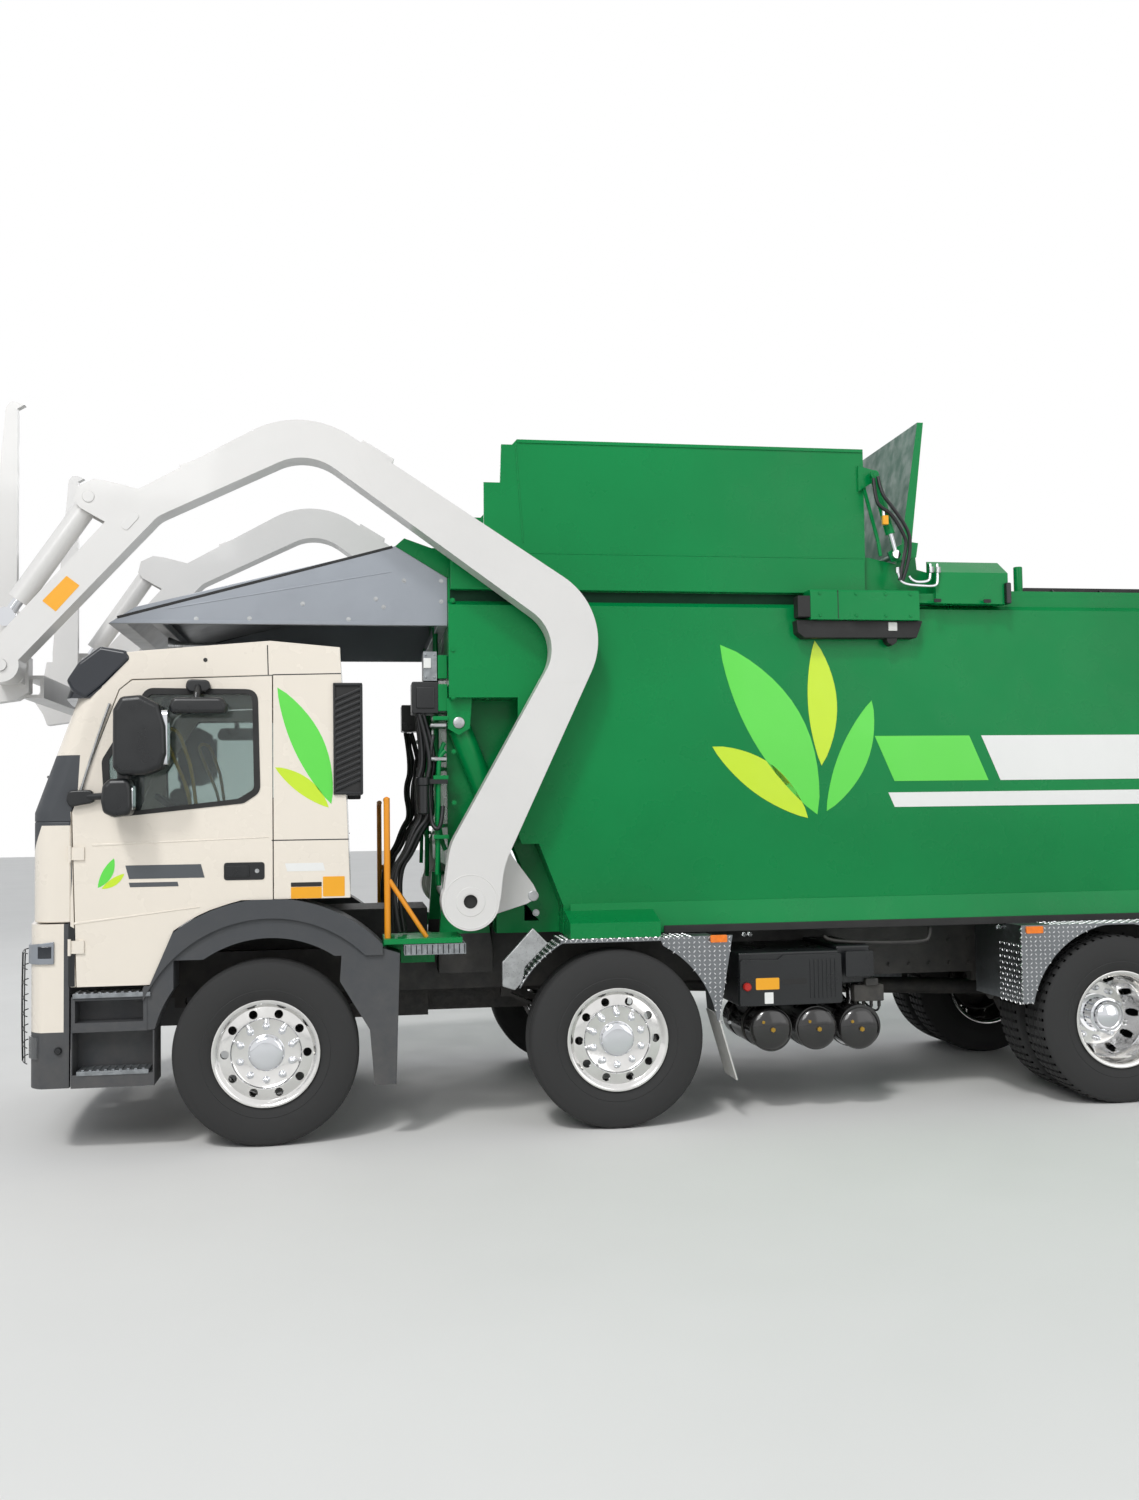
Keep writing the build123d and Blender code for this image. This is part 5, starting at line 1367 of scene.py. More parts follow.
def make_behind_cab():
    """Hoses, pipes, valves, filter and boxes on the front wall of the load body."""
    rubber = hose_rubber()
    route = [(-0.886, 2.424), (-0.944, 2.166), (-0.897, 2.015), (-0.925, 1.818), (-0.865, 1.744),
             (-0.804, 1.595), (-0.743, 1.521), (-0.719, 1.327), (-0.741, 1.150)]
    spread_of = ((0.0, 0.0), (0.030, 0.022), (-0.028, 0.050), (0.012, 0.080), (-0.036, 0.108), (0.034, 0.130))
    routes = []
    for place, (ahead, inward) in enumerate(spread_of):
        wave = 0.012 if place % 2 else -0.012
        routes.append([(x + ahead + wave * math.sin(z * 7), 0.985 - inward, z) for x, z in route])
    routes.append([(-1.010, 0.99, 1.880), (-1.000, 1.01, 1.765), (-0.965, 1.00, 1.740), (-0.935, 0.98, 1.810),
                   (-0.925, 0.96, 2.134), (-0.960, 0.93, 2.300)])
    hose("feed_hoses", "chassis", routes, sizes().hose / 2, rubber, both=True)
    pipes = [[(-1.030, 0.97, 2.209), (-1.002, 0.97, 2.187), (-0.987, 0.97, 2.134), (-0.985, 0.97, 1.860),
              (-0.980, 0.97, 1.592), (-0.975, 0.97, 1.480)],
             [(-1.030, 0.90, 2.260), (-0.985, 0.90, 2.200), (-0.985, 0.90, 1.700), (-1.030, 0.90, 1.620)],
             [(-1.000, 0.60, 3.000), (-1.000, 0.60, 2.000), (-1.000, 0.70, 1.400)],
             [(-1.000, 0.52, 3.000), (-1.000, 0.52, 2.000), (-1.000, 0.62, 1.400)]]
    hose("feed_pipes", "chassis", pipes, 0.014, green_enamel(), both=True)
    bm = bmesh.new()
    for z in (1.70, 2.05, 2.40):
        block(bm, (-1.045, -0.955), (0.86, 1.005), (z - 0.012, z + 0.012))
        block(bm, (-1.045, -0.985), (0.50, 0.63), (z + 0.05, z + 0.074))
    block(bm, (-1.045, -0.990), (0.80, 0.97), (2.445, 2.605))
    block(bm, (-1.045, -0.990), (0.80, 0.95), (2.64, 2.78))
    make("hose_brackets", bm, "chassis", green_enamel(), bevel=0.003, both=True)
    shaped("valve_cover", block, [
        ((-0.993, -0.835), (0.78, 0.965), (2.43, 2.62)),
        ((-0.970, -0.860), (0.80, 0.975), (2.46, 2.59)),
    ], "chassis", black_plastic(), bevel=0.008, both=True)
    bm = bmesh.new()
    block(bm, (-0.985, -0.904), (0.79, 0.955), (2.625, 2.80))
    for x in (-0.970, -0.920):
        for z in (2.645, 2.78):
            bolt(bm, (x, 0.955, z), (0, 1, 0), 0.012, 0.005)
    make("terminal_box", bm, "chassis", galvanised_steel(), bevel=0.004)
    shaped("terminal_cover", block, [((-0.950, -0.905), (0.955, 0.968), (2.70, 2.76))],
           "chassis", white_film(), bevel=0.004)
    bm = bmesh.new()
    turned(bm, [(1.834, 0.0), (1.834, 0.030), (1.842, 0.036), (2.000, 0.036), (2.006, 0.042), (2.046, 0.042),
                (2.052, 0.034), (2.052, 0.0)], (-0.892, 1.005, 0), (0, 0, 1), 28)
    block(bm, (-1.04, -0.892), (0.985, 1.000), (2.012, 2.042))
    make("oil_filter", bm, "chassis", black_plastic(), bevel=0.001)
    bm = bmesh.new()
    for z in (2.36, 2.16):
        for y in (0.90, 0.97):
            rod(bm, (-1.035, y, z), (-0.965, y, z), 0.017, steps=6)
            rod(bm, (-0.965, y, z), (-0.945, y, z), 0.013, steps=16)
    make("hose_fittings", bm, "chassis", bare_steel(), both=True)
    bm = bmesh.new()
    for place in range(12):
        x = -1.115 + place * 0.0305
        block(bm, (x, x + 0.005), (1.045, 1.220), (1.040, 1.092))
    for y in (1.042, 1.130, 1.217):
        block(bm, (-1.120, -0.770), (y - 0.003, y + 0.003), (1.036, 1.096))
    make("deck_grating", bm, "chassis", galvanised_steel(), both=True)
    bm = bmesh.new()
    for z in (3.095, 2.80, 2.52, 2.20, 1.90):
        bolt(bm, (-1.075, 1.035 if z > 2.3 else 1.032, z), (0, 1, 0), 0.02)
    make("body_edge_bolts", bm, "chassis", green_enamel(), both=True)


def make_canopy_details():
    """Bolts and the folded seams of the canopy."""
    canopy_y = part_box("canopy")[1].y
    bm = bmesh.new()
    for x, z in ((-0.794, 3.218), (-1.013, 3.218), (-1.012, 3.095), (-0.628, 3.107), (-0.204, 3.075),
                 (-0.468, 2.985), (-0.673, 3.060), (0.10, 2.985), (0.40, 2.980)):
        bolt(bm, (x, canopy_y, z), (0, 1, 0), 0.018, 0.006)
    make("canopy_bolts", bm, "chassis", bare_steel(), both=True)
    shaped("canopy_hem", arm_strip, [
        ([(0.800, 2.962), (-1.045, 2.962)], 0.010, canopy_y - 0.004, canopy_y + 0.006),
        ([(0.560, 3.038), (-0.720, 3.270)], 0.003, canopy_y - 0.003, canopy_y + 0.0025),
    ], "chassis", silver_paint(), bevel=0.001, both=True)
    bm = bmesh.new()
    arm_strip(bm, [(0.840, 2.985), (-0.728, 3.418)], 0.008, canopy_y - 0.030, canopy_y + 0.003)
    make("canopy_edge_rubber", bm, "chassis", soft_rubber(), bevel=0.002, both=True)
    bm = bmesh.new()
    slab(bm, [(-0.732, 3.417), (-0.798, 3.476), (-0.959, 3.420), (-1.250, 3.440), (-1.250, 3.236),
              (-0.893, 3.247),
              (-0.796, 3.311)], 0.945, 0.957)
    arm_strip(bm, [(-0.798, 3.470), (-0.959, 3.357), (-1.060, 3.240)], 0.004, -0.950, 0.950)
    make("apron_cheeks", bm, "chassis", green_enamel(), bevel=0.002, both=True)


def make_lid_gear():
    """Fittings, hoses, chrome pipes, valve and guide beside the hopper lid, and the boxes' small parts."""
    hoses = [[(-3.660, 1.150, 3.860), (-3.667, 1.158, 3.726), (-3.697, 1.160, 3.680), (-3.768, 1.160, 3.643),
              (-3.854, 1.158, 3.502), (-3.862, 1.155, 3.445), (-3.835, 1.150, 3.330), (-3.817, 1.145, 3.231)],
             [(-3.690, 1.150, 3.870), (-3.700, 1.172, 3.760), (-3.760, 1.176, 3.690), (-3.870, 1.174, 3.540),
              (-3.885, 1.165, 3.440), (-3.860, 1.155, 3.300), (-3.835, 1.145, 3.231)]]
    hose("lid_hoses", "chassis", hoses, 0.0115, hose_rubber(), both=True)
    pipes = [[(-3.807, 1.145, 3.293), (-3.809, 1.145, 3.235), (-3.857, 1.145, 3.206), (-3.950, 1.145, 3.200),
              (-4.051, 1.145, 3.197), (-4.066, 1.145, 3.232), (-4.069, 1.130, 3.339)],
             [(-3.880, 1.138, 3.260), (-3.902, 1.138, 3.223), (-3.992, 1.138, 3.224), (-4.022, 1.138, 3.246),
              (-4.024, 1.130, 3.339)]]
    hose("lid_pipes", "chassis", pipes, 0.0085, chrome(), both=True)
    shaped("lid_valve", block, [((-3.742, -3.706), (1.150, 1.178), (3.571, 3.627))],
           "chassis", label_film(), bevel=0.004, both=True)
    bm = bmesh.new()
    for x, z in ((-3.730, 3.600), (-3.724, 3.635)):
        rod(bm, (x, 1.148, z - 0.03), (x, 1.148, z + 0.03), 0.012, steps=6)
    for x, z in ((-3.807, 3.293), (-4.069, 3.300), (-4.024, 3.300)):
        rod(bm, (x, 1.143, z - 0.018), (x, 1.143, z + 0.018), 0.015, steps=6)
    make("lid_fittings", bm, "chassis", bare_steel(), both=True)
    bm = bmesh.new()
    arm_strip(bm, [(-3.617, 3.918), (-3.726, 3.489), (-3.739, 3.400)], 0.010, 1.030, 1.046)
    make("lid_guides", bm, "chassis", green_enamel(), bevel=0.003, both=True)
    bm = bmesh.new()
    arm_strip(bm, [(-3.415, 2.990), (-3.415, 3.165)], 0.0025, BOX_Y - 0.004, BOX_Y + 0.0008)
    for x in (-4.058, -4.385):
        plate(bm, (x - 0.024, x + 0.024), (3.098, 3.120), 0.008, BOX_Y - 0.004, BOX_Y + 0.0012)
    make("box_seams", bm, "chassis", soft_rubber(), both=True)
    bm = bmesh.new()
    for x in (-3.30, -3.53, -3.72, -3.88):
        for z in (3.012, 3.145):
            bolt(bm, (x, BOX_Y, z), (0, 1, 0), 0.016, 0.006)
    make("box_bolts", bm, "chassis", green_enamel(), both=True)
    shaped("end_lamps", block, [((-4.548, -4.512), (1.085, 1.150), (3.095, 3.228))],
           "chassis", black_plastic(), bevel=0.008, both=True)
    bm = bmesh.new()
    rod(bm, (-4.721, 0.90, 3.19), (-4.721, 0.90, 3.37), 0.028, steps=24)
    make("roof_posts", bm, "chassis", green_enamel(), bevel=0.004, both=True)
    bm = bmesh.new()
    slab(bm, [(-7.70, 3.195), (-4.80, 3.195), (-4.74, 3.212), (-4.76, 3.238), (-7.66, 3.242), (-7.72, 3.215)],
         -0.90, 0.90)
    make("roof_sheet", bm, "chassis", soft_rubber(), bevel=0.004)
    rope = []
    for place in range(9):
        x = -4.95 - place * 0.33
        rope.append([(x, -0.93, 3.205), (x, -0.90, 3.247), (x, 0.0, 3.256), (x, 0.90, 3.247),
                     (x, 0.93, 3.205)])
    hose("roof_cords", "chassis", rope, 0.006, black_plastic())


def make_side_gear():
    """Battery cover, knob, plates, tank plugs, straps, rub rail and frame bolts."""
    black = black_plastic()
    face_y = 1.110
    bm = bmesh.new()
    slab(bm, rounded([(-2.763, 0.941), (-2.994, 0.934), (-3.034, 0.962), (-3.394, 0.964), (-3.397, 0.664),
                      (-2.757, 0.662)], 0.02), face_y - 0.002, face_y + 0.016)
    for place in range(7):
        x = -3.36 + place * 0.026
        block(bm, (x, x + 0.010), (face_y + 0.014, face_y + 0.020), (0.70, 0.93))
    plate(bm, (-3.600, -3.423), (0.817, 0.970), 0.012, face_y - 0.002, face_y + 0.012)
    make("battery_cover", bm, "chassis", black, bevel=0.004)
    bm = bmesh.new()
    plate(bm, (-3.174, -3.017), (0.785, 0.820), 0.014, face_y + 0.015, face_y + 0.0172)
    make("battery_recess", bm, "chassis", soft_rubber())
    bm = bmesh.new()
    plate(bm, (-3.002, -2.857), (0.759, 0.828), 0.006, face_y + 0.015, face_y + 0.0178)
    make("battery_plate", bm, "chassis", label_film())
    bm = bmesh.new()
    plate(bm, (-2.964, -2.910), (0.675, 0.742), 0.004, face_y + 0.015, face_y + 0.0178)
    make("battery_plate_small", bm, "chassis", white_film())
    bm = bmesh.new()
    turned(bm, [(0.0, 0.0), (0.0, 0.020), (-0.006, 0.025), (-0.022, 0.025), (-0.026, 0.016), (-0.045, 0.016),
                (-0.045, 0.0)], (-2.800, face_y + 0.045, 0.780), (0, 1, 0), 24)
    make("isolator_knob", bm, "chassis", red_plastic())
    tank_places = ((-2.956, 0.520), (-3.244, 0.514), (-3.512, 0.504))
    bm = bmesh.new()
    dome = [(-0.02, 0.0), (-0.02, 0.128), (0.0, 0.1285), (0.016, 0.120), (0.029, 0.098), (0.037, 0.064),
            (0.040, 0.028), (0.041, 0.0)]
    for x, z in tank_places:
        turned(bm, dome, (x, 1.084, z), (0, 1, 0), 64)
    make("tank_ends", bm, "chassis", tank_enamel(), smooth=70)
    bm = bmesh.new()
    for x, z in tank_places:
        rod(bm, (x, 1.115, z), (x, 1.140, z), 0.015, steps=6)
        rod(bm, (x + 0.055, 1.105, z + 0.045), (x + 0.055, 1.126, z + 0.045), 0.010, steps=6)
    make("tank_plugs", bm, "chassis", brass())
    bm = bmesh.new()
    for x, z in tank_places:
        for y in (0.62, 0.93):
            strap = [(y - 0.018, 0.1305), (y - 0.018, 0.134), (y + 0.018, 0.134), (y + 0.018, 0.1305)]
            turned(bm, strap, (x, 0, z), (0, 1, 0), 48)
    make("tank_straps", bm, "chassis", frame_enamel())
    bm = bmesh.new()
    block(bm, (-3.68, -3.49), (1.01, 1.075), (0.66, 0.76))
    block(bm, (-3.64, -3.56), (1.02, 1.090), (0.755, 0.800))
    for x in (-3.66, -3.61, -3.56, -3.51):
        rod(bm, (x, 1.04, 0.62), (x, 1.04, 0.665), 0.012, steps=6)
    make("brake_valve", bm, "chassis", cast_iron(), bevel=0.006)
    pipes = []
    for place, x in enumerate((-3.66, -3.61, -3.56, -3.51)):
        pipes.append([(x, 1.04, 0.63), (x, 1.03, 0.58 - place * 0.01), (x + 0.05, 0.95, 0.62),
                      (x + 0.1, 0.60, 0.80),
                      (x + 0.2, 0.47, 0.86)])
    hose("brake_pipes", "chassis", pipes, 0.0065, hose_rubber())
    bm = bmesh.new()
    slab(bm, [(-2.32, 1.104), (-8.05, 1.104), (-8.05, 1.150), (-2.32, 1.150)], 1.028, 1.044)
    make("rub_rails", bm, "chassis", soft_rubber(), bevel=0.004, both=True)
    bm = bmesh.new()
    for x in [-2.72 - 0.14 * place for place in range(38)]:
        for z in (0.80, 0.95):
            bolt(bm, (x, 0.425, z), (0, 1, 0), 0.024, 0.012)
    make("frame_bolts", bm, "chassis", frame_enamel(), both=True)
    bars = [[(-3.335, 1.00, 1.060), (-3.335, 1.00, 1.035), (-3.50, 1.00, 1.012), (-3.986, 1.00, 1.000),
             (-4.02, 1.00, 1.04), (-4.02, 1.00, 1.09)]]
    hose("hook_bars", "chassis", bars, 0.012, frame_enamel(), both=True)
    bm = bmesh.new()
    slab(bm, [(-1.506, 1.172), (-1.326, 0.980), (-1.325, 0.842), (-1.398, 0.817), (-1.443, 0.860),
              (-1.459, 0.947),
              (-1.594, 1.081)], 1.190, 1.222)
    make("fender_curl", bm, "chassis", bare_steel(), bevel=0.008, both=True)
    bm = bmesh.new()
    for x in (-2.620, -2.670):
        bolt(bm, (x, 1.200, 0.585), (0, 1, 0), 0.014)
    make("flap_bolts", bm, "chassis", bare_steel(), both=True)


def make_tail():
    """Lamp clusters, a blank plate and reflectors on the rear bar, and marker lamps on the tailgate."""
    tree = skin("chassis_frame")
    rear = tree.ray_cast(Vector((FRONT - 9.0, 0.80, 0.50)), Vector((1, 0, 0)))[0].x - FRONT
    shaped("tail_lamp_trays", block, [((rear - 0.012, rear + 0.02), (0.565, 0.985), (0.450, 0.560))],
           "chassis", black_plastic(), bevel=0.006, both=True)
    for name, film, low, high in (("red", red_lens(), 0.845, 0.975), ("amber", amber_lens(), 0.710, 0.835),
                                  ("clear", clear_lens(), 0.575, 0.700)):
        shaped(f"tail_lamp_{name}", block, [((rear - 0.028, rear - 0.006), (low, high), (0.462, 0.548))],
               "chassis", film, bevel=0.008, both=True)
    bm = bmesh.new()
    for y in (1.035, 1.105):
        turned(bm, [(0.0, 0.0), (0.0, 0.024), (-0.008, 0.020), (-0.010, 0.0)], (rear, y, 0.505), (1, 0, 0),
               32)
    make("tail_reflectors", bm, "chassis", red_lens(), both=True)
    shaped("rear_plate", block, [((rear - 0.008, rear + 0.004), (-0.19, 0.19), (0.455, 0.558))],
           "chassis", label_film(), bevel=0.002)
    gate = skin("tailgate")
    bm = bmesh.new()
    for y, z in ((0.90, 3.05), (0.90, 1.45)):
        hit = gate.ray_cast(Vector((FRONT - 9.5, y, z)), Vector((1, 0, 0)))[0]
        if hit:
            x = hit.x - FRONT
            turned(bm, [(0.006, 0.0), (0.006, 0.045), (-0.014, 0.040), (-0.022, 0.020), (-0.023, 0.0)],
                   (x, y, z),
                   (1, 0, 0), 32)
    make("gate_lamps", bm, "tailgate", red_lens(), both=True)


def make_tread():
    """Raised pattern of the tread plate on the fenders."""
    rays = []
    for side in (1, -1):
        for row in range(19):
            for column in range(190):
                place = Vector((FRONT - 1.42 - column * BAR_STEP, side * 1.40, 0.612 + row * BAR_ROW))
                turn = 1 if (row + column) % 2 else -1
                rays.append((turn, place, Vector((0, -side, 0)), Vector((1, 0, 0))))
        for number in (2, *DRIVE):
            for row in range(10):
                for column in range(70):
                    angle = math.radians(3 + column * 2.52)
                    out = Vector((math.cos(angle), 0, math.sin(angle)))
                    place = Vector((AXLE[number].x, side * (1.228 - row * BAR_STEP), WHEEL_Z)) + out * 0.86
                    turn = 1 if (row + column) % 2 else -1
                    rays.append((turn, place, -out, Vector((0, 1, 0))))
    tread_bars("tread_pattern", "fenders", rays, tread_rib())


def on_side(bm):
    """Bring flat film drawn at Y 0 onto the body, whose side slants in below the kink."""
    bmesh.ops.bisect_plane(bm, geom=everything(bm), plane_co=(0, 0, BODY_KINK_Z), plane_no=(0, 0, 1))
    for vert in bm.verts:
        lean = max(0.0, BODY_KINK_Z - vert.co.z) * 0.035 / 0.97
        vert.co.y += BODY_Y - lean + 0.0015


def leaning_bar(x_front, x_rear, z_low, z_high):
    """Outline of a stripe with slanted ends."""
    lean = (z_high - z_low) * 0.45
    return [(x_front, z_low), (x_rear, z_low), (x_rear + lean, z_high), (x_front + lean, z_high)]


def leaf(start_at, end_at, bulge, steps=14):
    """Outline of a leaf between two tips."""
    start_at, end_at = Vector(start_at), Vector(end_at)
    across = Vector((-(end_at - start_at).y, (end_at - start_at).x)).normalized()
    points = []
    for share in (step / steps for step in range(steps)):
        points.append(start_at.lerp(end_at, share) + across * bulge * math.sin(math.pi * share) ** 0.8)
    for share in (step / steps for step in range(steps)):
        points.append(end_at.lerp(start_at, share) - across * bulge * 0.55 * math.sin(math.pi * share) ** 0.8)
    return [tuple(point) for point in points]


def make_graphics():
    """Generic leaves and stripes in the colours of a fleet livery."""
    on_body = (
        ("motif_lime", lime_film(),
         [leaf((-3.30, 1.80), (-2.70, 2.84), 0.22), leaf((-3.36, 1.82), (-3.66, 2.50), 0.12)]),
        ("motif_pale", pale_film(),
         [leaf((-3.24, 1.78), (-2.64, 2.22), 0.13), leaf((-3.33, 2.10), (-3.30, 2.87), 0.12)]),
        ("stripe_lime", lime_film(), [leaning_bar(-3.80, -4.42, 2.00, 2.28)]),
        ("stripe_white", white_film(),
         [leaning_bar(-4.50, -6.90, 2.00, 2.28), leaning_bar(-3.80, -6.90, 1.84, 1.93)]),
    )
    for name, film, outlines in on_body:
        bm = bmesh.new()
        for outline in outlines:
            slab(bm, outline, -FILM, FILM)
        on_side(bm)
        make(f"body_{name}", bm, "chassis", film, both=True)
    shapes = (
        ("lime", lime_film(), "chassis", [leaf((-0.366, 1.90), (-0.070, 2.56), 0.11)]),
        ("pale", pale_film(), "chassis", [leaf((-0.352, 1.88), (-0.055, 2.11), 0.06)]),
        ("lime", lime_film(), "door", [leaf((0.900, 1.455), (0.815, 1.615), 0.036)]),
        ("pale", pale_film(), "door", [leaf((0.880, 1.450), (0.760, 1.530), 0.026)]),
        ("grey", grey_film(), "door", [[(0.735, 1.500), (0.330, 1.500), (0.350, 1.575), (0.755, 1.575)],
                                       [(0.730, 1.455), (0.470, 1.455), (0.476, 1.480), (0.736, 1.480)]]),
        ("white", white_film(), "chassis", [[(-0.120, 1.525), (-0.330, 1.525), (-0.318, 1.570),
                                             (-0.108, 1.570)]]),
    )
    for name, film, where, outlines in shapes:
        for side_name, side in SIDES:
            bm = bmesh.new()
            for outline in outlines:
                slab(bm, outline, CAB_Y - FILM, CAB_Y + FILM * 1.2)
            body = body_of(f"door_{side_name}") if where == "door" else where
            make_for_side(f"{where}_motif_{name}_{side_name}", bm, side, body, film)


# Chassis
def make_chassis():
    """Finish of the frame and all that hangs from it."""
    black = frame_enamel()
    soften("frame_rails", "chassis_frame", black, 0.003)
    cover("powertrain", cast_iron())
    cover("axles_and_springs", black)
    for number in STEER:
        for side_name, _ in SIDES:
            cover(f"knuckle_{number}_{side_name}", cast_iron())
    soften("battery_cases", "battery_boxes", black_plastic(), 0.012)
    soften("air_tanks", "tanks", tank_enamel(), 0.0, keep=lambda middle: middle.y > 0)
    soften("fuel_tank", "tanks", tread_plate(), 0.0, keep=lambda middle: middle.y < 0)
    soften("silencer", "exhaust", galvanised_steel(), 0.006)
    soften("fender_panels", "fenders", tread_plate(), 0.0015)
    bm = clean_copy("grab_rails")
    round_edges(bm, 0.0025)
    for face in bm.faces:
        face.material_index = 1 if face.calc_center_median().z > 1.135 else 0
    store("step_platforms", bm, "chassis", [green_enamel(), orange_enamel()], replaces=["grab_rails"])
    soften("rubber_blocks", "rubber_stops_and_flaps", soft_rubber(), 0.004, keep=lambda c: c.z > 2)
    soften("white_flaps", "rubber_stops_and_flaps", flap_plastic(), 0.002,
           keep=lambda c: -3 < c.x < -2 and c.z < 2)
    soften("rear_flaps", "rubber_stops_and_flaps", soft_rubber(), 0.002, keep=lambda c: c.x < -5)


# Stage
def white_backdrop():
    """White surroundings that light the truck a little less than they show."""
    world = bpy.context.scene.world or bpy.data.worlds.new("studio")
    bpy.context.scene.world = world
    world.use_nodes = True
    tree = world.node_tree
    tree.nodes.clear()
    seen = node(tree, "LightPath")
    camera_or_gloss = node(tree, "Math", {0: seen.outputs["Is Camera Ray"], 1: seen.outputs["Is Glossy Ray"]},
                           operation="MAXIMUM").outputs[0]
    shown = node(tree, "Math", {0: camera_or_gloss, 1: seen.outputs["Is Transmission Ray"]},
                 operation="MAXIMUM").outputs[0]
    dim = node(tree, "Background", {"Color": (0.86, 0.92, 1.0, 1), "Strength": 0.36})
    bright = node(tree, "Background", {"Color": (1, 1, 1, 1), "Strength": 1.0})
    mixed = node(tree, "MixShader", {0: shown, 1: dim.outputs[0], 2: bright.outputs[0]})
    node(tree, "OutputWorld", {"Surface": mixed.outputs[0]})


def floor_concrete():
    # Pale trowelled floor: even and matt
    return surface("floor_concrete", linear("#E4E3E0"), 0.7, tone=0.02, tone_size=2.0)


def make_stage():
    """Floor, lights, camera and white backdrop."""
    white_backdrop()
    mesh = bpy.data.meshes.new("studio_floor")
    bm = bmesh.new()
    bmesh.ops.create_grid(bm, x_segments=2, y_segments=2, size=60)
    bm.to_mesh(mesh)
    bm.free()
    floor = bpy.data.objects.new("studio_floor", mesh)
    bpy.context.scene.collection.objects.link(floor)
    mesh.materials.append(floor_concrete())
    lamps = (
        ("key_light", (FRONT + 3.5, 11.0, 9.0), (FRONT - 2.5, 0, 1.6), 6.0, 620),
        ("fill_light", (FRONT - 9.0, 9.0, 5.0), (FRONT - 3.0, 0, 1.6), 8.0, 170),
        ("rim_light", (FRONT - 2.0, -10.0, 9.0), (FRONT - 2.5, 0, 1.6), 8.0, 260),
    )
    for name, place, aim, size, power in lamps:
        light = bpy.data.lights.new(name, "AREA")
        light.shape = "SQUARE"
        light.size = size
        light.energy = power
        lamp = bpy.data.objects.new(name, light)
        lamp.location = place
        lamp.rotation_euler = (Vector(aim) - Vector(place)).to_track_quat("-Z", "Y").to_euler()
        bpy.context.scene.collection.objects.link(lamp)
    sun = bpy.data.lights.new("sun_light", "SUN")
    sun.energy = 1.15
    sun.angle = math.radians(8)
    sun_lamp = bpy.data.objects.new("sun_light", sun)
    sun_lamp.rotation_euler = (Vector((-0.35, -0.62, -0.9))).to_track_quat("-Z", "Y").to_euler()
    bpy.context.scene.collection.objects.link(sun_lamp)
    make_camera()
    view = bpy.context.scene.view_settings
    view.view_transform = "Standard"


CAMERA_PLACE = (-0.485, 9.071, 1.84)
CAMERA_YAW, CAMERA_PITCH, CAMERA_ROLL = -9.04, 2.57, -0.78


def make_camera():
    """The camera that took the photo, as fitted to it."""
    yaw, pitch, roll = (math.radians(turn) for turn in (CAMERA_YAW, CAMERA_PITCH, CAMERA_ROLL))
    level = Vector((math.sin(yaw), -math.cos(yaw), 0))
    right = Vector((-math.cos(yaw), -math.sin(yaw), 0))
    up = Vector((0, 0, 1))
    ahead = level * math.cos(pitch) + up * math.sin(pitch)
    above = up * math.cos(pitch) - level * math.sin(pitch)
    across = right * math.cos(roll) + above * math.sin(roll)
    above = above * math.cos(roll) - right * math.sin(roll)
    lens = bpy.data.cameras.new("photo_camera")
    lens.sensor_fit = "VERTICAL"
    lens.sensor_height = 36.0
    lens.lens = sizes().camera_lens
    lens.clip_end = 500
    camera = bpy.data.objects.new("photo_camera", lens)
    turn = Matrix((across, above, -ahead)).transposed().to_4x4()
    place = Vector(CAMERA_PLACE) + Vector((FRONT, 0, 0))
    camera.matrix_world = Matrix.Translation(place) @ turn
    bpy.context.scene.collection.objects.link(camera)
    bpy.context.scene.camera = camera


class TRUCK_OT_stage(bpy.types.Operator):
    """Make the floor, the lights and the camera"""
    bl_idname = "truck.stage"
    bl_label = "Stage"

    def execute(self, context):
        make_stage()
        return {"FINISHED"}


class TRUCK_OT_wheels(bpy.types.Operator):
    """Make the tyres and polished wheels"""
    bl_idname = "truck.wheels"
    bl_label = "Wheels"

    def execute(self, context):
        make_tyres()
        make_rims()
        return {"FINISHED"}


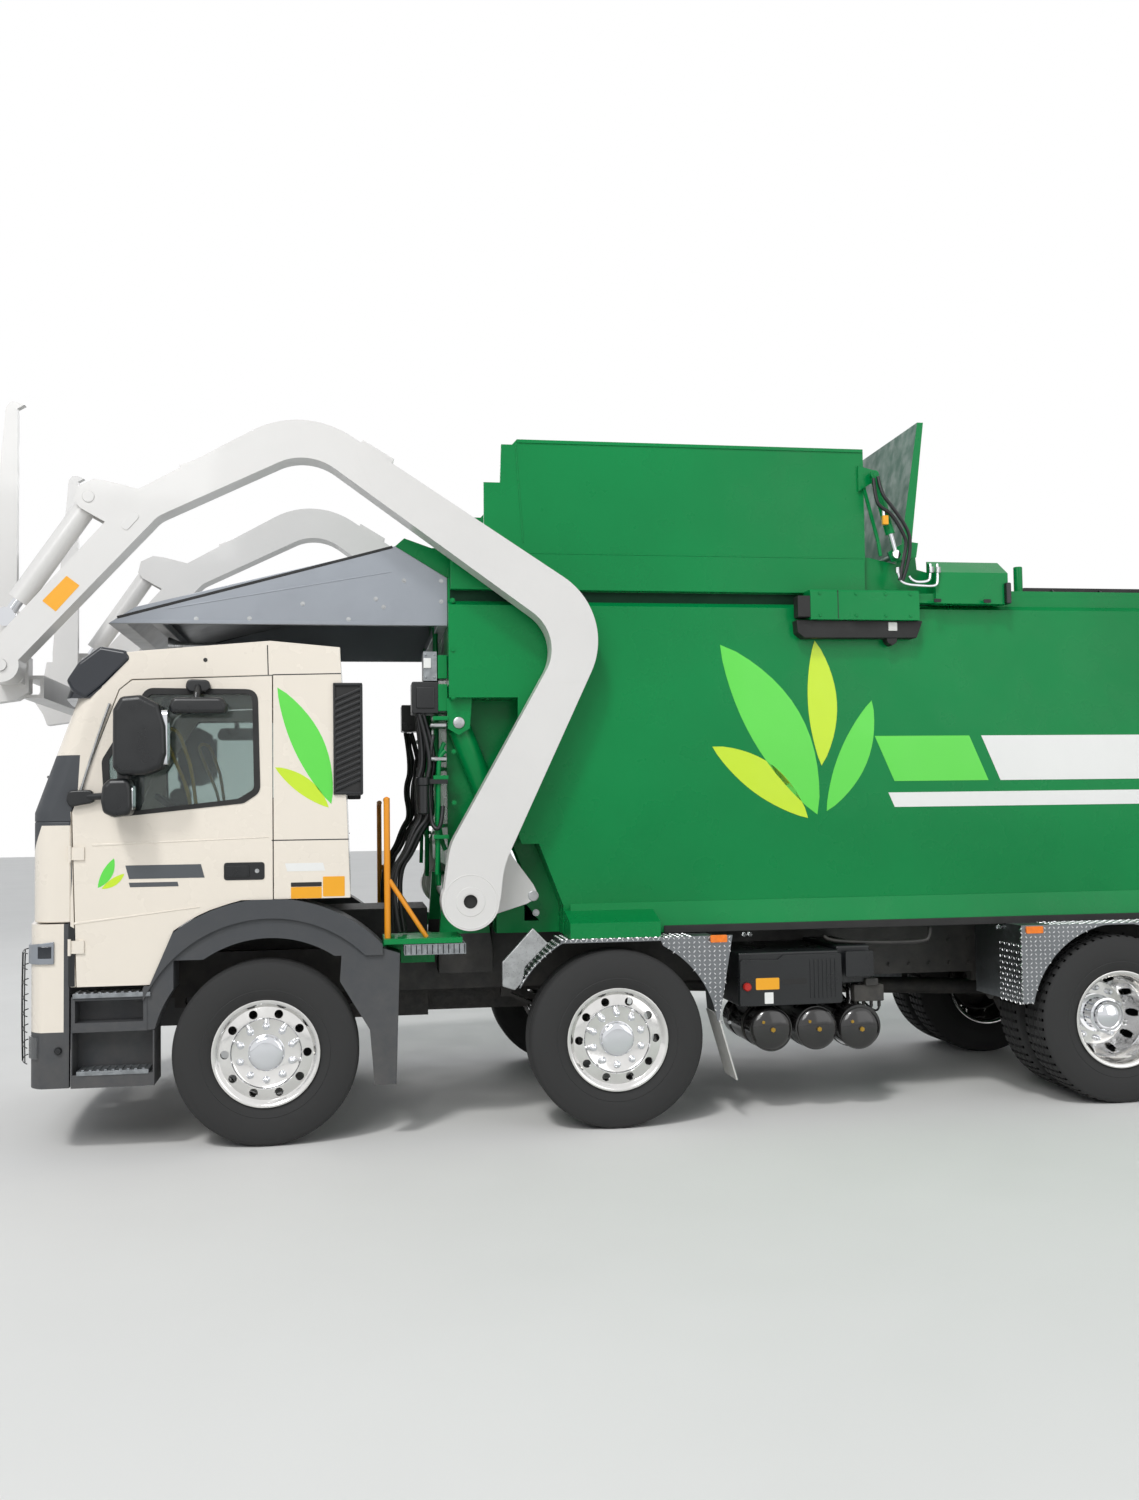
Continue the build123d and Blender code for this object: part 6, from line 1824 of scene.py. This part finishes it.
class TRUCK_OT_cab(bpy.types.Operator):
    """Dress the cab, its doors, glass, steps and inside"""
    bl_idname = "truck.cab"
    bl_label = "Cab"

    def execute(self, context):
        make_cab_shells()
        make_front()
        make_cab_trim()
        make_windows()
        make_door_trim()
        make_intakes()
        make_steps()
        make_interior()
        make_mirrors()
        make_lamps()
        return {"FINISHED"}


class TRUCK_OT_loader(bpy.types.Operator):
    """Dress the lift arms, forks and cylinders"""
    bl_idname = "truck.loader"
    bl_label = "Loader"

    def execute(self, context):
        make_loader()
        make_arm_details()
        return {"FINISHED"}


class TRUCK_OT_body(bpy.types.Operator):
    """Dress the load body, lid, tailgate and canopy, with the side design"""
    bl_idname = "truck.body"
    bl_label = "Load body"

    def execute(self, context):
        make_body()
        make_behind_cab()
        make_canopy_details()
        make_lid_gear()
        make_graphics()
        return {"FINISHED"}


class TRUCK_OT_chassis(bpy.types.Operator):
    """Dress the frame, tanks, boxes, fenders and flaps"""
    bl_idname = "truck.chassis"
    bl_label = "Chassis"

    def execute(self, context):
        make_chassis()
        make_side_gear()
        make_tail()
        make_tread()
        return {"FINISHED"}


OPERATORS = (TRUCK_OT_stage, TRUCK_OT_wheels, TRUCK_OT_cab, TRUCK_OT_loader, TRUCK_OT_body, TRUCK_OT_chassis)


class TRUCK_PT_panel(bpy.types.Panel):
    """Lists the steps that make the truck"""
    bl_idname = "TRUCK_PT_panel"
    bl_label = "Garbage truck"
    bl_space_type = "VIEW_3D"
    bl_region_type = "UI"
    bl_category = "Truck"

    def draw(self, context):
        for each in OPERATORS:
            self.layout.operator(each.bl_idname)


CLASSES = (TruckColours, TruckSizes, *OPERATORS, TRUCK_PT_panel)


def register():
    for each in CLASSES:
        bpy.utils.register_class(each)
    bpy.types.Scene.truck_colours = PointerProperty(type=TruckColours)
    bpy.types.Scene.truck_sizes = PointerProperty(type=TruckSizes)


def unregister():
    del bpy.types.Scene.truck_sizes
    del bpy.types.Scene.truck_colours
    for each in reversed(CLASSES):
        bpy.utils.unregister_class(each)


def main():
    """Register the add-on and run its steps."""
    register()
    bpy.ops.truck.stage()
    bpy.ops.truck.wheels()
    bpy.ops.truck.cab()
    bpy.ops.truck.loader()
    bpy.ops.truck.body()
    bpy.ops.truck.chassis()


if __name__ == "__main__":
    main()
